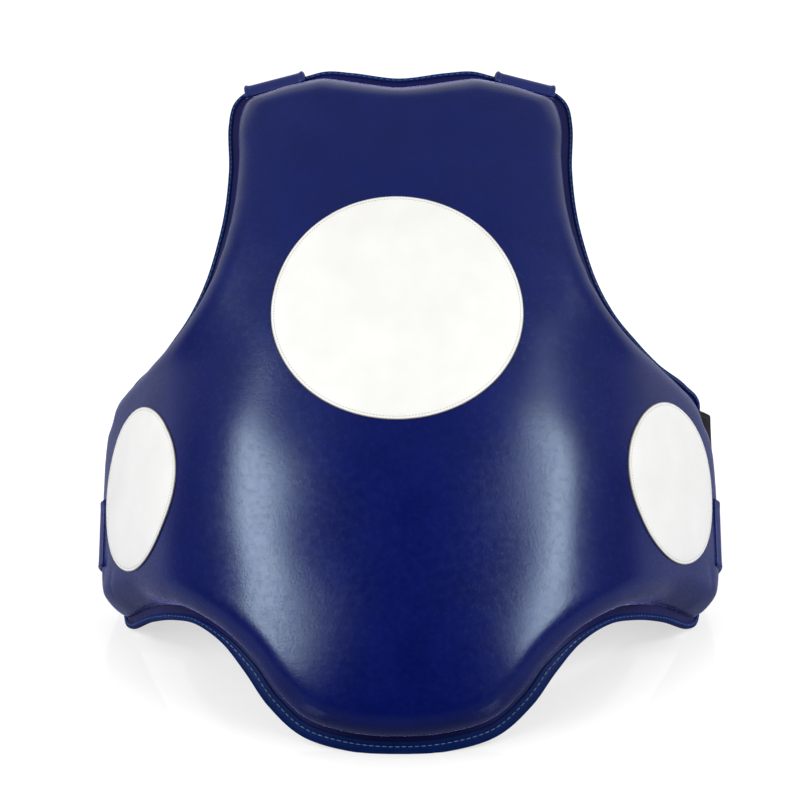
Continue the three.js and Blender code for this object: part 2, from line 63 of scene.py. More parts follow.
log = logging.getLogger("body_protector")


class Side(Enum):
    """Side of the part, as the sign of X."""

    LEFT = -1
    RIGHT = 1

    @property
    def word(self) -> str:
        """The side's name as part of a piece's name."""
        return self.name.lower()


class Corner(IntEnum):
    """Rows of the outline where one side of the pad's grid meets the next."""

    HEM_JOIN = 5
    LOW_CORNER = 10
    REAR_MIDDLE = 12
    HIGH_CORNER = 14
    ARMHOLE_JOIN = 19
    SHOULDER = 24
    NECK_MIDDLE = 29


def eased(value: Array, span: Span) -> Array:
    """Smooth step from 0 to 1 over a span."""
    part = np.clip((value - span[0]) / (span[1] - span[0]), 0.0, 1.0)
    return part * part * (3.0 - 2.0 * part)


def unit(vectors: Array) -> Array:
    """The vectors at unit length."""
    return vectors / np.linalg.norm(vectors, axis=-1, keepdims=True)


def own_fractions(points: Array) -> Array:
    """Fraction of a polyline's own length at each of its points."""
    lengths = np.concatenate([[0.0], np.cumsum(np.linalg.norm(np.diff(points, axis=0), axis=1))])
    return lengths / lengths[-1]


def spline_part(before: Array, start: Array, end: Array, after: Array, part: Array) -> Array:
    """Point of a centripetal spline between two of its knots.

    Args:
        before: knot before the stretch.
        start: knot where the stretch starts.
        end: knot where it ends.
        after: knot after it.
        part: fraction of the stretch.

    Returns:
        The points, one for each row.
    """
    first, second, third = (
        np.sqrt(np.linalg.norm(far - near, axis=1, keepdims=True))
        for near, far in ((before, start), (start, end), (end, after))
    )
    leave = ((start - before) / first - (end - before) / (first + second) + (end - start) / second) * second
    reach = ((end - start) / second - (after - start) / (second + third) + (after - end) / third) * second
    square = -3.0 * start + 3.0 * end - 2.0 * leave - reach
    cube = 2.0 * start - 2.0 * end + leave + reach
    return start + part * (leave + part * (square + part * cube))


def open_spline(knots: Array, places: Array) -> Array:
    """Points of an open centripetal spline.

    Args:
        knots: the points that it passes through.
        places: places on it, counted in knots.

    Returns:
        The point at each place.
    """
    padded = np.vstack([2.0 * knots[0] - knots[1], knots, 2.0 * knots[-1] - knots[-2]])
    whole = np.minimum(np.floor(places).astype(int), len(knots) - 2)
    part = (places - whole)[:, None]
    return spline_part(*(padded[whole + k] for k in range(4)), part)


@dataclass(frozen=True)
class ArcRun:
    """One arc of a bend: its length, and the turn in degrees that it ends at."""

    length: float
    turn: float


def along_arcs(start_turn: float, runs: tuple[ArcRun, ...], distance: Array) -> tuple[Array, Array]:
    """Follows a chain of arcs.

    Args:
        start_turn: turn at the start, in degrees.
        runs: the arcs in order.
        distance: distances along the chain.

    Returns:
        The run ahead and the rise aside at each distance.
    """
    turn = np.full_like(distance, math.radians(start_turn))
    run = np.zeros_like(distance)
    rise = np.zeros_like(distance)
    left = distance
    before = start_turn
    for row in runs:
        step = left if row is runs[-1] else np.minimum(left, row.length)
        bend = math.radians(row.turn - before) / row.length
        after = turn + bend * step
        run += (np.sin(after) - np.sin(turn)) / bend
        rise += (np.cos(turn) - np.cos(after)) / bend
        turn = after
        left = left - step
        before = row.turn
    return run, rise


@dataclass(frozen=True)
class Panel:
    """Bend and stance of the panel that carries everything."""

    thickness: float = 2.4
    flange: float = 11.5
    lobe_flange: float = 2.5
    lobe_span: Span = (60.0, 110.0)
    strap_trim: float = 4.0
    strap_across: float = 92.0
    strap_reach: float = 32.0
    strap_span: Span = (560.0, 590.0)
    torso: tuple[ArcRun, ...] = (ArcRun(112, 16.5), ArcRun(72, 48), ArcRun(240, 80))
    front_tilt: float = -20.0
    front: tuple[ArcRun, ...] = (
        ArcRun(90, -8),
        ArcRun(110, 0),
        ArcRun(130, 6),
        ArcRun(120, 12),
        ArcRun(170, 14),
    )
    widening: float = 0.26
    widening_span: Span = (320.0, 470.0)
    shear: float = 0.06
    flare: float = 7.0
    flare_place: tuple[float, float] = (345.0, 334.0)
    flare_reach: float = 18.0
    lean_deg: float = 39.5493
    floor_level: float = -0.705
    middle: tuple[float, float] = (11.1655, 202.5015)

    # Places where the flange is wider or narrower: across, along, extra width and reach
    wide_places = ((337.0, 338.0, 25.0, 38.0), (195.0, 380.0, 4.0, 45.0), (334.0, 140.0, -5.0, 26.0))

    def flange_width(self, outline: Array) -> Array:
        """Width of the flange outside the pad: wide at the lobe and under the arms, narrow at the straps."""
        across = np.abs(outline[:, 0])
        along = outline[:, 1]
        lobe = 1.0 - eased(along, self.lobe_span)
        near_strap = np.exp(-(((across - self.strap_across) / self.strap_reach) ** 2))
        strap = eased(along, self.strap_span) * near_strap
        width = self.flange + self.lobe_flange * lobe - self.strap_trim * strap
        for place_across, place_along, extra, reach in self.wide_places:
            gap = np.hypot(across - place_across, along - place_along)
            width = width + extra * np.exp(-((gap / reach) ** 2))
        return width

    def point(self, flat: Array) -> Array:
        """Middle of the panel at unrolled points, before it leans."""
        across = flat[..., 0]
        widen = 1.0 - self.widening * eased(flat[..., 1], self.widening_span)
        side, depth = along_arcs(0.0, self.torso, np.abs(across) * widen)
        height, tilt = along_arcs(self.front_tilt, self.front, flat[..., 1])
        depth = depth / widen
        gap = np.hypot(np.abs(across) - self.flare_place[0], flat[..., 1] - self.flare_place[1])
        flare = self.flare * np.exp(-((gap / self.flare_reach) ** 2))
        side = (side / widen + flare) * np.sign(across)
        return np.stack([side + self.shear * depth, depth + tilt, height], axis=-1)

    def directions(self, flat: Array) -> tuple[Array, Array, Array]:
        """Sideways, upward and outward directions at unrolled points, before the panel leans."""
        reach = 0.5
        across = np.array([reach, 0.0])
        along = np.array([0.0, reach])
        sideways = unit(self.point(flat + across) - self.point(flat - across))
        upward = unit(self.point(flat + along) - self.point(flat - along))
        return sideways, upward, unit(np.cross(sideways, upward))

    def turned(self, ways: Array) -> Array:
        """Directions of the panel as they are on the standing part."""
        cosine = math.cos(math.radians(self.lean_deg))
        sine = math.sin(math.radians(self.lean_deg))
        across, depth, height = ways[..., 0], ways[..., 1], ways[..., 2]
        return np.stack([across, depth * cosine + height * sine, height * cosine - depth * sine], axis=-1)

    def standing(self, points: Array) -> Array:
        """Points of the panel as they are on the standing part."""
        return self.turned(points) - np.array([*self.middle, self.floor_level])

    def lifted(self, flat: Array, height: Array | float) -> Array:
        """Standing points at a height off the middle of the panel."""
        outward = self.directions(flat)[2]
        return self.standing(self.point(flat) + outward * np.asarray(height)[..., None])


# Right half of the finished outline, unrolled: across from the middle, along from the hem
OUTLINE = (
    (0, 0), (40, 3.5), (78, 16), (106, 41), (126, 68), (150, 93), (182, 111), (218, 119), (262, 123),
    (313, 124), (334, 132), (344, 153), (346, 236), (345, 320), (337, 337), (319, 344), (262, 350),
    (222, 363), (190, 380), (170, 405), (155, 452), (150, 508), (152, 556), (148, 579), (137, 590),
    (118, 595), (84, 601.5), (64, 606), (40, 603), (0, 596.5),
)


class Edge:
    """The finished outline as a closed curve whose parameter counts its rows."""

    turn_rows = 0.6
    samples = 200
    row_samples = 40

    def __init__(self, panel: Panel) -> None:
        """Mirrors the outline to a closed loop of knots."""
        half = np.array(OUTLINE, float)
        self.panel = panel
        self.knots = np.vstack([half, half[-2:0:-1] * (-1.0, 1.0)])
        self.rows = len(self.knots)

    def at(self, rows: Array) -> Array:
        """Unrolled points of the outline."""
        whole = np.floor(rows).astype(int)
        knots = (self.knots[(whole + k) % self.rows] for k in (-1, 0, 1, 2))
        return spline_part(*knots, (rows - whole)[:, None])

    def inset(self, rows: Array, share: float) -> Array:
        """Unrolled points at a share of the flange's width in from the outline."""
        ahead = unit(self.at(rows + self.turn_rows) - self.at(rows - self.turn_rows))
        inward = np.stack([-ahead[:, 1], ahead[:, 0]], axis=1)
        outline = self.at(rows)
        return outline + inward * (share * self.panel.flange_width(outline))[:, None]

    def pad_edge(self, rows: Array) -> Array:
        """Unrolled points of the pad's edge."""
        return self.inset(rows, 1.0)

    def rows_between(self, start: float, end: float, fractions: Array) -> Array:
        """Rows at fractions of the outline's length between two rows."""
        rows = np.linspace(start, end, self.samples + 1)
        return np.interp(fractions, own_fractions(self.at(rows)), rows)

    def even_rows(self, count: int) -> Array:
        """Rows evenly spaced by length, once round."""
        rows = np.linspace(0.0, self.rows, self.row_samples * self.rows + 1)
        return np.interp(np.arange(count) / count, own_fractions(self.at(rows)), rows)

    def frames(self, rows: Array) -> tuple[Array, Array, Array]:
        """Standing points of the outline, with the directions out of the panel and off its face."""
        outer = self.at(rows)
        point = self.panel.point(outer)
        out = unit(point - self.panel.point(self.pad_edge(rows)))
        off = self.panel.directions(outer)[2]
        return self.panel.standing(point), self.panel.turned(out), self.panel.turned(off)


def blended(bottom: Array, top: Array, left: Array, right: Array) -> Array:
    """Grid of points blended from its four sides.

    Args:
        bottom: points of the lower side.
        top: points of the upper side.
        left: points of the left side, from the bottom up.
        right: points of the right side, from the bottom up.

    Returns:
        The grid as rows of points.
    """
    u = own_fractions(top)[None, :, None]
    v = own_fractions(left)[:, None, None]
    grid = bottom[None] * (1.0 - v) + top[None] * v + left[:, None] * (1.0 - u) + right[:, None] * u
    low = bottom[0] * (1.0 - u) + bottom[-1] * u
    high = left[-1] * (1.0 - u) + right[-1] * u
    return grid - low * (1.0 - v) - high * v


def merged(points: Array, steps: float) -> tuple[Array, Array]:
    """Merges points that lie at the same place.

    Args:
        points: the points.
        steps: steps in a millimetre that places are rounded to.

    Returns:
        One point for each place, and the number of each given point's place.
    """
    keys = np.round(points * steps).astype(int)
    first, places = np.unique(keys, axis=0, return_index=True, return_inverse=True)[1:]
    return points[first], places.reshape(-1)


@dataclass(frozen=True)
class GridSide:
    """One side of the pad's grid: usual length, even steps, and whether its start has fine steps too."""

    length: float
    steps: int
    fine_start: bool

    def fractions(self, fine: tuple[float, ...]) -> Array:
        """Fractions of the side at its grid lines."""
        start = np.array(fine) if self.fine_start else np.zeros(1)
        end = self.length - np.array(fine)[::-1]
        middle = np.linspace(start[-1], end[0], self.steps + 1)[1:-1]
        return np.concatenate([start, middle, end]) / self.length


class PadGrid:
    """Quads over the unrolled pad: a middle block and a wing at either side."""

    fine = (0.0, 1.2, 3.0, 5.5, 8.5, 12.0, 16.0, 21.0, 27.0)
    across = GridSide(270, 40, True)
    low = GridSide(285, 43, True)
    high = GridSide(185, 29, False)
    wing = GridSide(175, 27, False)
    merge = 100.0
    row_digits = 6
    row_gap = 1e-4

    def __init__(self, edge: Edge) -> None:
        """Blends the blocks and joins them at their common points."""
        across, low, high, wing = (
            side.fractions(self.fine) for side in (self.across, self.low, self.high, self.wing)
        )
        lobe = edge.rows_between(-Corner.HEM_JOIN, Corner.HEM_JOIN, across)
        neck = edge.rows_between(edge.rows - Corner.SHOULDER, Corner.SHOULDER, across)
        arch = edge.rows_between(Corner.HEM_JOIN, Corner.LOW_CORNER, wing)
        rear = edge.rows_between(Corner.LOW_CORNER, Corner.HIGH_CORNER, low)
        underarm = edge.rows_between(Corner.ARMHOLE_JOIN, Corner.HIGH_CORNER, wing)
        armhole = edge.rows_between(Corner.ARMHOLE_JOIN, Corner.SHOULDER, high)
        sides = [edge.pad_edge(rows) for rows in (lobe, neck, arch, rear, underarm, armhole)]
        join = sides[0][-1] + low[:, None] * (sides[5][0] - sides[0][-1])
        right = np.vstack([join, sides[5][1:]])
        middle = blended(sides[0], sides[1], right * (-1.0, 1.0), right)
        right_wing = blended(sides[2], sides[4], join, sides[3])
        left_wing = right_wing[:, ::-1] * (-1.0, 1.0)
        cells = np.vstack([self._cells(grid) for grid in (middle, right_wing, left_wing)])
        self.points, places = merged(cells.reshape(-1, 2), self.merge)
        self.quads = places.reshape(-1, 4)
        right_rows = np.concatenate([arch, rear, underarm, armhole])
        rows = np.concatenate([lobe, neck, right_rows, edge.rows - right_rows]) % edge.rows
        rows = np.unique(np.round(rows, self.row_digits))
        self.loop_rows = rows[rows < edge.rows - self.row_gap]

    @staticmethod
    def _cells(grid: Array) -> Array:
        """Corners of each cell of a grid."""
        corners = (grid[:-1, :-1], grid[:-1, 1:], grid[1:, 1:], grid[1:, :-1])
        return np.stack(corners, axis=2).reshape(-1, 4, 2)


def values_of(items: bpy.types.bpy_prop_collection, name: str, width: int) -> Array:
    """Values of the items of a mesh, with a row for each item."""
    values = np.empty(len(items) * width)
    items.foreach_get(name, values)
    return values.reshape(-1, width)


def nearest_on_loop(points: Array, loop: Array) -> tuple[Array, Array]:
    """Measures points against a closed polyline.

    Args:
        points: unrolled points.
        loop: corners of the polyline.

    Returns:
        The distance to the loop, and the length along it to the nearest place.
    """
    way = np.roll(loop, -1, axis=0) - loop
    length = np.linalg.norm(way, axis=1)
    starts = np.concatenate([[0.0], np.cumsum(length)[:-1]])
    distances = []
    places = []
    for chunk in np.array_split(points, max(1, len(points) // CHUNK_POINTS)):
        part = np.clip(((chunk[:, None] - loop) * way).sum(2) / length**2, 0.0, 1.0)
        gaps = np.linalg.norm(chunk[:, None] - loop - way * part[..., None], axis=2)
        best = gaps.argmin(axis=1)
        row = np.arange(len(chunk))
        distances.append(gaps[row, best])
        places.append(starts[best] + part[row, best] * length[best])
    return np.concatenate(distances), np.concatenate(places)


@dataclass
class Shape:
    """A mesh in the making: points in millimetres, faces, the finish of each face and its UV corners."""

    points: Array
    faces: list[tuple[int, ...]]
    finish: list[int] | None = None
    uv: Array | None = None

    def piece(self, name: str, *materials: Material) -> Piece:
        """Makes the object.

        Args:
            name: the piece's name.
            materials: its finishes, in the order that the faces name them.

        Returns:
            The linked object, at the origin.
        """
        mesh = bpy.data.meshes.new(name)
        mesh.from_pydata((self.points * MILLIMETRE).tolist(), [], self.faces)
        for material in materials:
            mesh.materials.append(material)
        if self.finish is not None:
            mesh.polygons.foreach_set("material_index", self.finish)
        if self.uv is not None:
            layer = mesh.uv_layers.new(name="UVMap")
            layer.data.foreach_set("uv", (self.uv * MILLIMETRE).ravel())
        mesh.shade_smooth()
        mesh.update()
        return linked(name, mesh)


def evaluated_mesh(piece: Piece, name: str) -> Mesh:
    """The piece's mesh with its modifiers worked out, as a plain mesh."""
    mesh = bpy.data.meshes.new_from_object(piece.evaluated_get(bpy.context.evaluated_depsgraph_get()))
    mesh.name = name
    return mesh


def linked(name: str, mesh: Mesh) -> Piece:
    """A new object with this mesh, in the scene."""
    piece = bpy.data.objects.new(name, mesh)
    bpy.context.scene.collection.objects.link(piece)
    return piece


def stacked(high: Array, low: Array, quads: Array) -> Shape:
    """Closed body between two layers of points over the same quads, with the low layer as second finish."""
    count = len(high)
    faces = [tuple(quad) for quad in quads.tolist()]
    under = [tuple(corner + count for corner in reversed(face)) for face in faces]
    sides = {(face[k], face[(k + 1) % 4]) for face in faces for k in range(4)}
    walls = [(a, a + count, b + count, b) for a, b in sorted(sides) if (b, a) not in sides]
    finish = [0] * len(faces) + [1] * len(under) + [0] * len(walls)
    return Shape(np.vstack([high, low]), faces + under + walls, finish)


def swept(sections: Array, closed: bool) -> Shape:
    """Closed body through equal sections.

    Args:
        sections: points of each section, all round it.
        closed: whether the last section joins the first one, and else both ends are capped.

    Returns:
        The shape, with UV lengths along and round it.
    """
    count, size = sections.shape[:2]
    spans = count if closed else count - 1
    middles = sections.mean(axis=1)
    step = np.linalg.norm(np.roll(middles, -1, axis=0) - middles, axis=1)
    along = np.concatenate([[0.0], np.cumsum(step)])
    girth = np.linalg.norm(np.roll(sections[0], -1, axis=0) - sections[0], axis=1)
    around = np.concatenate([[0.0], np.cumsum(girth)])
    faces = []
    uv = []
    for i in range(spans):
        here = i * size
        there = (i + 1) % count * size
        for k in range(size):
            after = (k + 1) % size
            faces.append((here + k, there + k, there + after, here + after))
            uv += [
                (along[i], around[k]),
                (along[i + 1], around[k]),
                (along[i + 1], around[k + 1]),
                (along[i], around[k + 1]),
            ]
    if not closed:
        last = (count - 1) * size
        faces.append(tuple(range(size)))
        faces.append(tuple(last + k for k in reversed(range(size))))
        uv += [(along[0], around[k]) for k in range(size)]
        uv += [(along[spans], around[k]) for k in reversed(range(size))]
    return Shape(sections.reshape(-1, 3), faces, uv=np.array(uv))


def dressed(piece: Piece, slot: str, *nodes: str) -> Piece:
    """Puts a finished piece on the part.

    Args:
        piece: the object.
        slot: the record's material slot meant for its finish; not used.
        nodes: the solids that it stands for.

    Returns:
        The same object.
    """
    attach(piece, BODY)
    if nodes:
        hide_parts(*nodes)
    log.info("%s: %d faces", piece.name, len(piece.data.polygons))
    return piece


class Nodes:
    """A node tree, with short calls to add and join its nodes."""

    def __init__(self, tree: bpy.types.NodeTree) -> None:
        """Takes the tree to fill."""
        self.tree = tree

    def add(self, kind: str, inputs: dict | None = None, **settings: object) -> bpy.types.Node:
        """Adds a node.

        Args:
            kind: the node's type.
            inputs: values, or sockets to join, by the input's name or number.
            settings: the node's own settings.

        Returns:
            The node.
        """
        node = self.tree.nodes.new(kind)
        for name, value in settings.items():
            setattr(node, name, value)
        self.fill(node, inputs or {})
        return node

    def fill(self, node: bpy.types.Node, inputs: dict) -> None:
        """Sets or joins a node's inputs."""
        for name, value in inputs.items():
            if isinstance(value, Socket):
                self.tree.links.new(value, node.inputs[name])
            else:
                node.inputs[name].default_value = value

    def math(self, operation: str, *values: object) -> Socket:
        """Result of a sum on numbers or sockets."""
        return self.add("ShaderNodeMath", dict(enumerate(values)), operation=operation).outputs[0]

    def ramp(self, value: Socket, start: Span, end: Span, **settings: str) -> Socket:
        """Value brought from one span to another."""
        inputs = dict(zip(("Value", "From Min", "From Max", "To Min", "To Max"), (value, *start, *end)))
        return self.add("ShaderNodeMapRange", inputs, **settings).outputs[0]


class Graph(Nodes):
    """A material's nodes."""

    noise_span = (0.3, 0.7)

    def __init__(self, name: str) -> None:
        """Starts a material with only its shader and output."""
        self.material = bpy.data.materials.new(name)
        self.material.use_nodes = True
        super().__init__(self.material.node_tree)
        self.shader = self.tree.nodes["Principled BSDF"]

    def coordinates(self, output: str = "Object") -> Socket:
        """Coordinates of the surface."""
        return self.add("ShaderNodeTexCoord").outputs[output]

    def noise(self, where: Socket, size: float, detail: float = 3.0) -> Socket:
        """Noise whose features have a size in metres."""
        inputs = {"Vector": where, "Scale": 1.0 / size, "Detail": detail}
        return self.add("ShaderNodeTexNoise", inputs).outputs["Fac"]

    def spread(self, value: Socket, low: float, high: float) -> Socket:
        """Noise brought to a span."""
        return self.ramp(value, self.noise_span, (low, high))

    def mixed(self, factor: Socket, first: object, second: object) -> Socket:
        """Colour between two colours."""
        node = self.add("ShaderNodeMix", data_type="RGBA")
        self.fill(node, {0: factor, 6: first, 7: second})
        return node.outputs[2]

    def bump(self, height: Socket, depth: float, strength: float) -> None:
        """Raises the surface by a height of a depth in metres."""
        node = self.add("ShaderNodeBump", {"Height": height, "Distance": depth, "Strength": strength})
        self.fill(self.shader, {"Normal": node.outputs["Normal"]})


@dataclass(frozen=True)
class Leather:
    """Smooth dyed leather: mottled colour, a fine grain and a sheen at its edges."""

    name: str
    deep: Colour
    lifted: Colour
    roughness: Span
    grain_size: float = 0.0019
    grain_depth: float = 0.00020
    strength: float = 0.36
    specular: float = 0.5
    tint: Colour = (0.59, 0.75, 0.89, 1.0)
    sheen: float = 0.5
    sheen_tint: Colour = (0.42, 0.43, 1.0, 1.0)
    # Dark edge colour, which stands for a cut edge and also paints the thin shade where the piece meets what
    # it lies on
    cut_edge_and_shade: Colour | None = None

    # Sizes of the mottling and the wear in metres, and size and height of the folds beside the grain
    mottle_size = 0.030
    wear_size = 0.005
    fold_ratio = 4.0
    fold_share = 0.5
    sheen_roughness = 0.22

    def material(self) -> Material:
        """Builds the material."""
        graph = Graph(self.name)
        where = graph.coordinates()
        mottle = graph.noise(where, self.mottle_size, 4.0)
        colour = graph.mixed(graph.spread(mottle, 0.0, 1.0), self.deep, self.lifted)
        # Dark colour at the rim: the cut edge, with painted shade along it
        if self.cut_edge_and_shade:
            rim = graph.add("ShaderNodeAttribute", attribute_name="cut_edge_and_shade").outputs["Fac"]
            colour = graph.mixed(rim, colour, self.cut_edge_and_shade)
        grain = graph.noise(where, self.grain_size, 3.0)
        folds = graph.noise(where, self.grain_size * self.fold_ratio, 3.0)
        height = graph.math("ADD", grain, graph.math("MULTIPLY", folds, self.fold_share))
        worn = graph.noise(where, self.wear_size, 4.0)
        graph.fill(graph.shader, {
            "Base Color": colour,
            "Roughness": graph.spread(worn, *self.roughness),
            "Specular IOR Level": self.specular,
            "Specular Tint": self.tint,
            "Sheen Weight": self.sheen,
            "Sheen Roughness": self.sheen_roughness,
            "Sheen Tint": self.sheen_tint,
        })
        graph.bump(height, self.grain_depth, self.strength)
        return graph.material


@dataclass(frozen=True)
class Woven:
    """Woven tape: ribs across its length and threads along it, in UV lengths."""

    name: str
    deep: Colour
    lifted: Colour
    roughness: Span
    rib: float
    thread: float
    depth: float
    specular: float = 0.2
    sheen: float = 0.2

    # Sizes of the fuzz and the patches in metres, and shares of ribs and fuzz in the surface
    fuzz_size = 0.0009
    patch_size = 0.018
    patch_tone = (0.4, 1.0)
    rib_share = 0.7
    fuzz_share = 0.35
    sheen_roughness = 0.45
    strength = 0.8

    def material(self) -> Material:
        """Builds the material."""
        graph = Graph(self.name)
        parts = graph.add("ShaderNodeSeparateXYZ", {"Vector": graph.coordinates("UV")})
        ribs = self._wave(graph, parts.outputs["X"], self.rib)
        threads = self._wave(graph, parts.outputs["Y"], self.thread)
        threads = graph.math("MULTIPLY", threads, 1.0 - self.rib_share)
        weave = graph.math("MULTIPLY_ADD", ribs, self.rib_share, threads)
        where = graph.coordinates()
        fuzz = graph.noise(where, self.fuzz_size, 3.0)
        patchy = graph.noise(where, self.patch_size, 3.0)
        # Colour follows the weave's height, lighter on the ribs and darker in the valleys between them, which
        # is painted shade; the noise patches over it are random tone
        patches_and_rib_shade = graph.math("MULTIPLY", graph.spread(patchy, *self.patch_tone), weave)
        height = graph.math("ADD", weave, graph.math("MULTIPLY", fuzz, self.fuzz_share))
        graph.fill(graph.shader, {
            "Base Color": graph.mixed(patches_and_rib_shade, self.deep, self.lifted),
            "Roughness": graph.spread(fuzz, *self.roughness),
            "Specular IOR Level": self.specular,
            "Sheen Weight": self.sheen,
            "Sheen Roughness": self.sheen_roughness,
        })
        graph.bump(height, self.depth, self.strength)
        return graph.material

    @staticmethod
    def _wave(graph: Graph, length: Socket, pitch: float) -> Socket:
        """Wave from 0 to 1 along a length, with a pitch in metres."""
        wave = graph.math("SINE", graph.math("MULTIPLY", length, 2.0 * math.pi / pitch))
        return graph.math("MULTIPLY_ADD", wave, 0.5, 0.5)


@dataclass(frozen=True)
class Thread:
    """Sewing thread: two tones and a fine twist."""

    name: str
    deep: Colour
    lifted: Colour

    # Sizes of the fibres and the wear in metres, and depth and strength of the twist
    fibre_size = 0.0006
    wear_size = 0.004
    roughness = (0.45, 0.65)
    sheen = 0.15
    twist_depth = 0.00015
    twist_strength = 0.6

    def material(self) -> Material:
        """Builds the material."""
        graph = Graph(self.name)
        where = graph.coordinates()
        fibre = graph.noise(where, self.fibre_size, 2.0)
        graph.fill(graph.shader, {
            "Base Color": graph.mixed(graph.spread(fibre, 0.0, 1.0), self.deep, self.lifted),
            "Roughness": graph.spread(graph.noise(where, self.wear_size, 2.0), *self.roughness),
            "Sheen Weight": self.sheen,
        })
        graph.bump(fibre, self.twist_depth, self.twist_strength)
        return graph.material


@dataclass(frozen=True)
class Finishes:
    """Every finish of the part, built once."""

    pad: Material
    flange: Material
    lining: Material
    tape: Material
    white: Material
    strap: Material
    webbing: Material
    blue_thread: Material
    teal_thread: Material
    navy_thread: Material
    disc_thread: Material
    black_thread: Material

    @classmethod
    def built(cls) -> "Finishes":
        """Builds the materials."""
        navy = (0.0005, 0.0028, 0.063, 1.0)
        navy_lifted = (0.0011, 0.0043, 0.078, 1.0)
        return cls(
            pad=Leather("pad_leather", navy, navy_lifted, (0.23, 0.29)).material(),
            # The flange is the pad's leather; its darker, purple base colour is painted sheen that stands in
            # for the grazing reflection on it
            flange=Leather(
                "flange_leather_painted_sheen", (0.0030, 0.0022, 0.046, 1.0), (0.0060, 0.0042, 0.064, 1.0), (0.40, 0.50),
                specular=0.25, sheen=0.1,
            ).material(),
            lining=Woven(
                "lining_cloth", (0.004, 0.008, 0.055, 1.0), (0.010, 0.018, 0.095, 1.0), (0.5, 0.7),
                0.0012, 0.0012, 0.00015,
            ).material(),
            tape=Woven(
                "binding_tape", (0.0004, 0.005, 0.050, 1.0), (0.0014, 0.019, 0.120, 1.0), (0.40, 0.52),
                0.0016, 0.0012, 0.00012, specular=0.08, sheen=0.0,
            ).material(),
            white=Leather(
                "patch_leather", (0.660, 0.656, 0.628, 1.0), (0.700, 0.696, 0.666, 1.0), (0.42, 0.5),
                cut_edge_and_shade=(0.07, 0.055, 0.03, 1.0), strength=0.25, tint=(1.0, 1.0, 1.0, 1.0),
                sheen=0.0,
            ).material(),
            strap=Leather(
                "strap_leather", (0.003, 0.006, 0.080, 1.0), (0.005, 0.009, 0.100, 1.0), (0.38, 0.47),
                grain_size=0.0026, sheen=0.7,
            ).material(),
            webbing=Woven(
                "black_webbing", (0.0010, 0.0010, 0.0012, 1.0), (0.0060, 0.0060, 0.0070, 1.0), (0.5, 0.7),
                0.0024, 0.0013, 0.0004, sheen=0.02,
            ).material(),
            blue_thread=Thread("blue_thread", (0.05, 0.12, 0.30, 1.0), (0.11, 0.21, 0.44, 1.0)).material(),
            teal_thread=Thread("teal_thread", (0.010, 0.05, 0.17, 1.0), (0.025, 0.08, 0.25, 1.0)).material(),
            navy_thread=Thread("navy_thread", (0.006, 0.014, 0.10, 1.0), (0.016, 0.03, 0.16, 1.0)).material(),
            disc_thread=Thread("disc_thread", (0.31, 0.30, 0.25, 1.0), (0.43, 0.42, 0.36, 1.0)).material(),
            black_thread=Thread(
                "black_thread", (0.003, 0.003, 0.004, 1.0), (0.02, 0.02, 0.022, 1.0)
            ).material(),
        )


@dataclass
class Seam:
    """A line of sewing: its points, and the way that its stitches face, in millimetres."""

    points: Array
    ways: Array
    closed: bool


@dataclass(frozen=True)
class Stitch:
    """Size of a stitch in millimetres."""

    pitch: float
    length: float
    width: float
    height: float


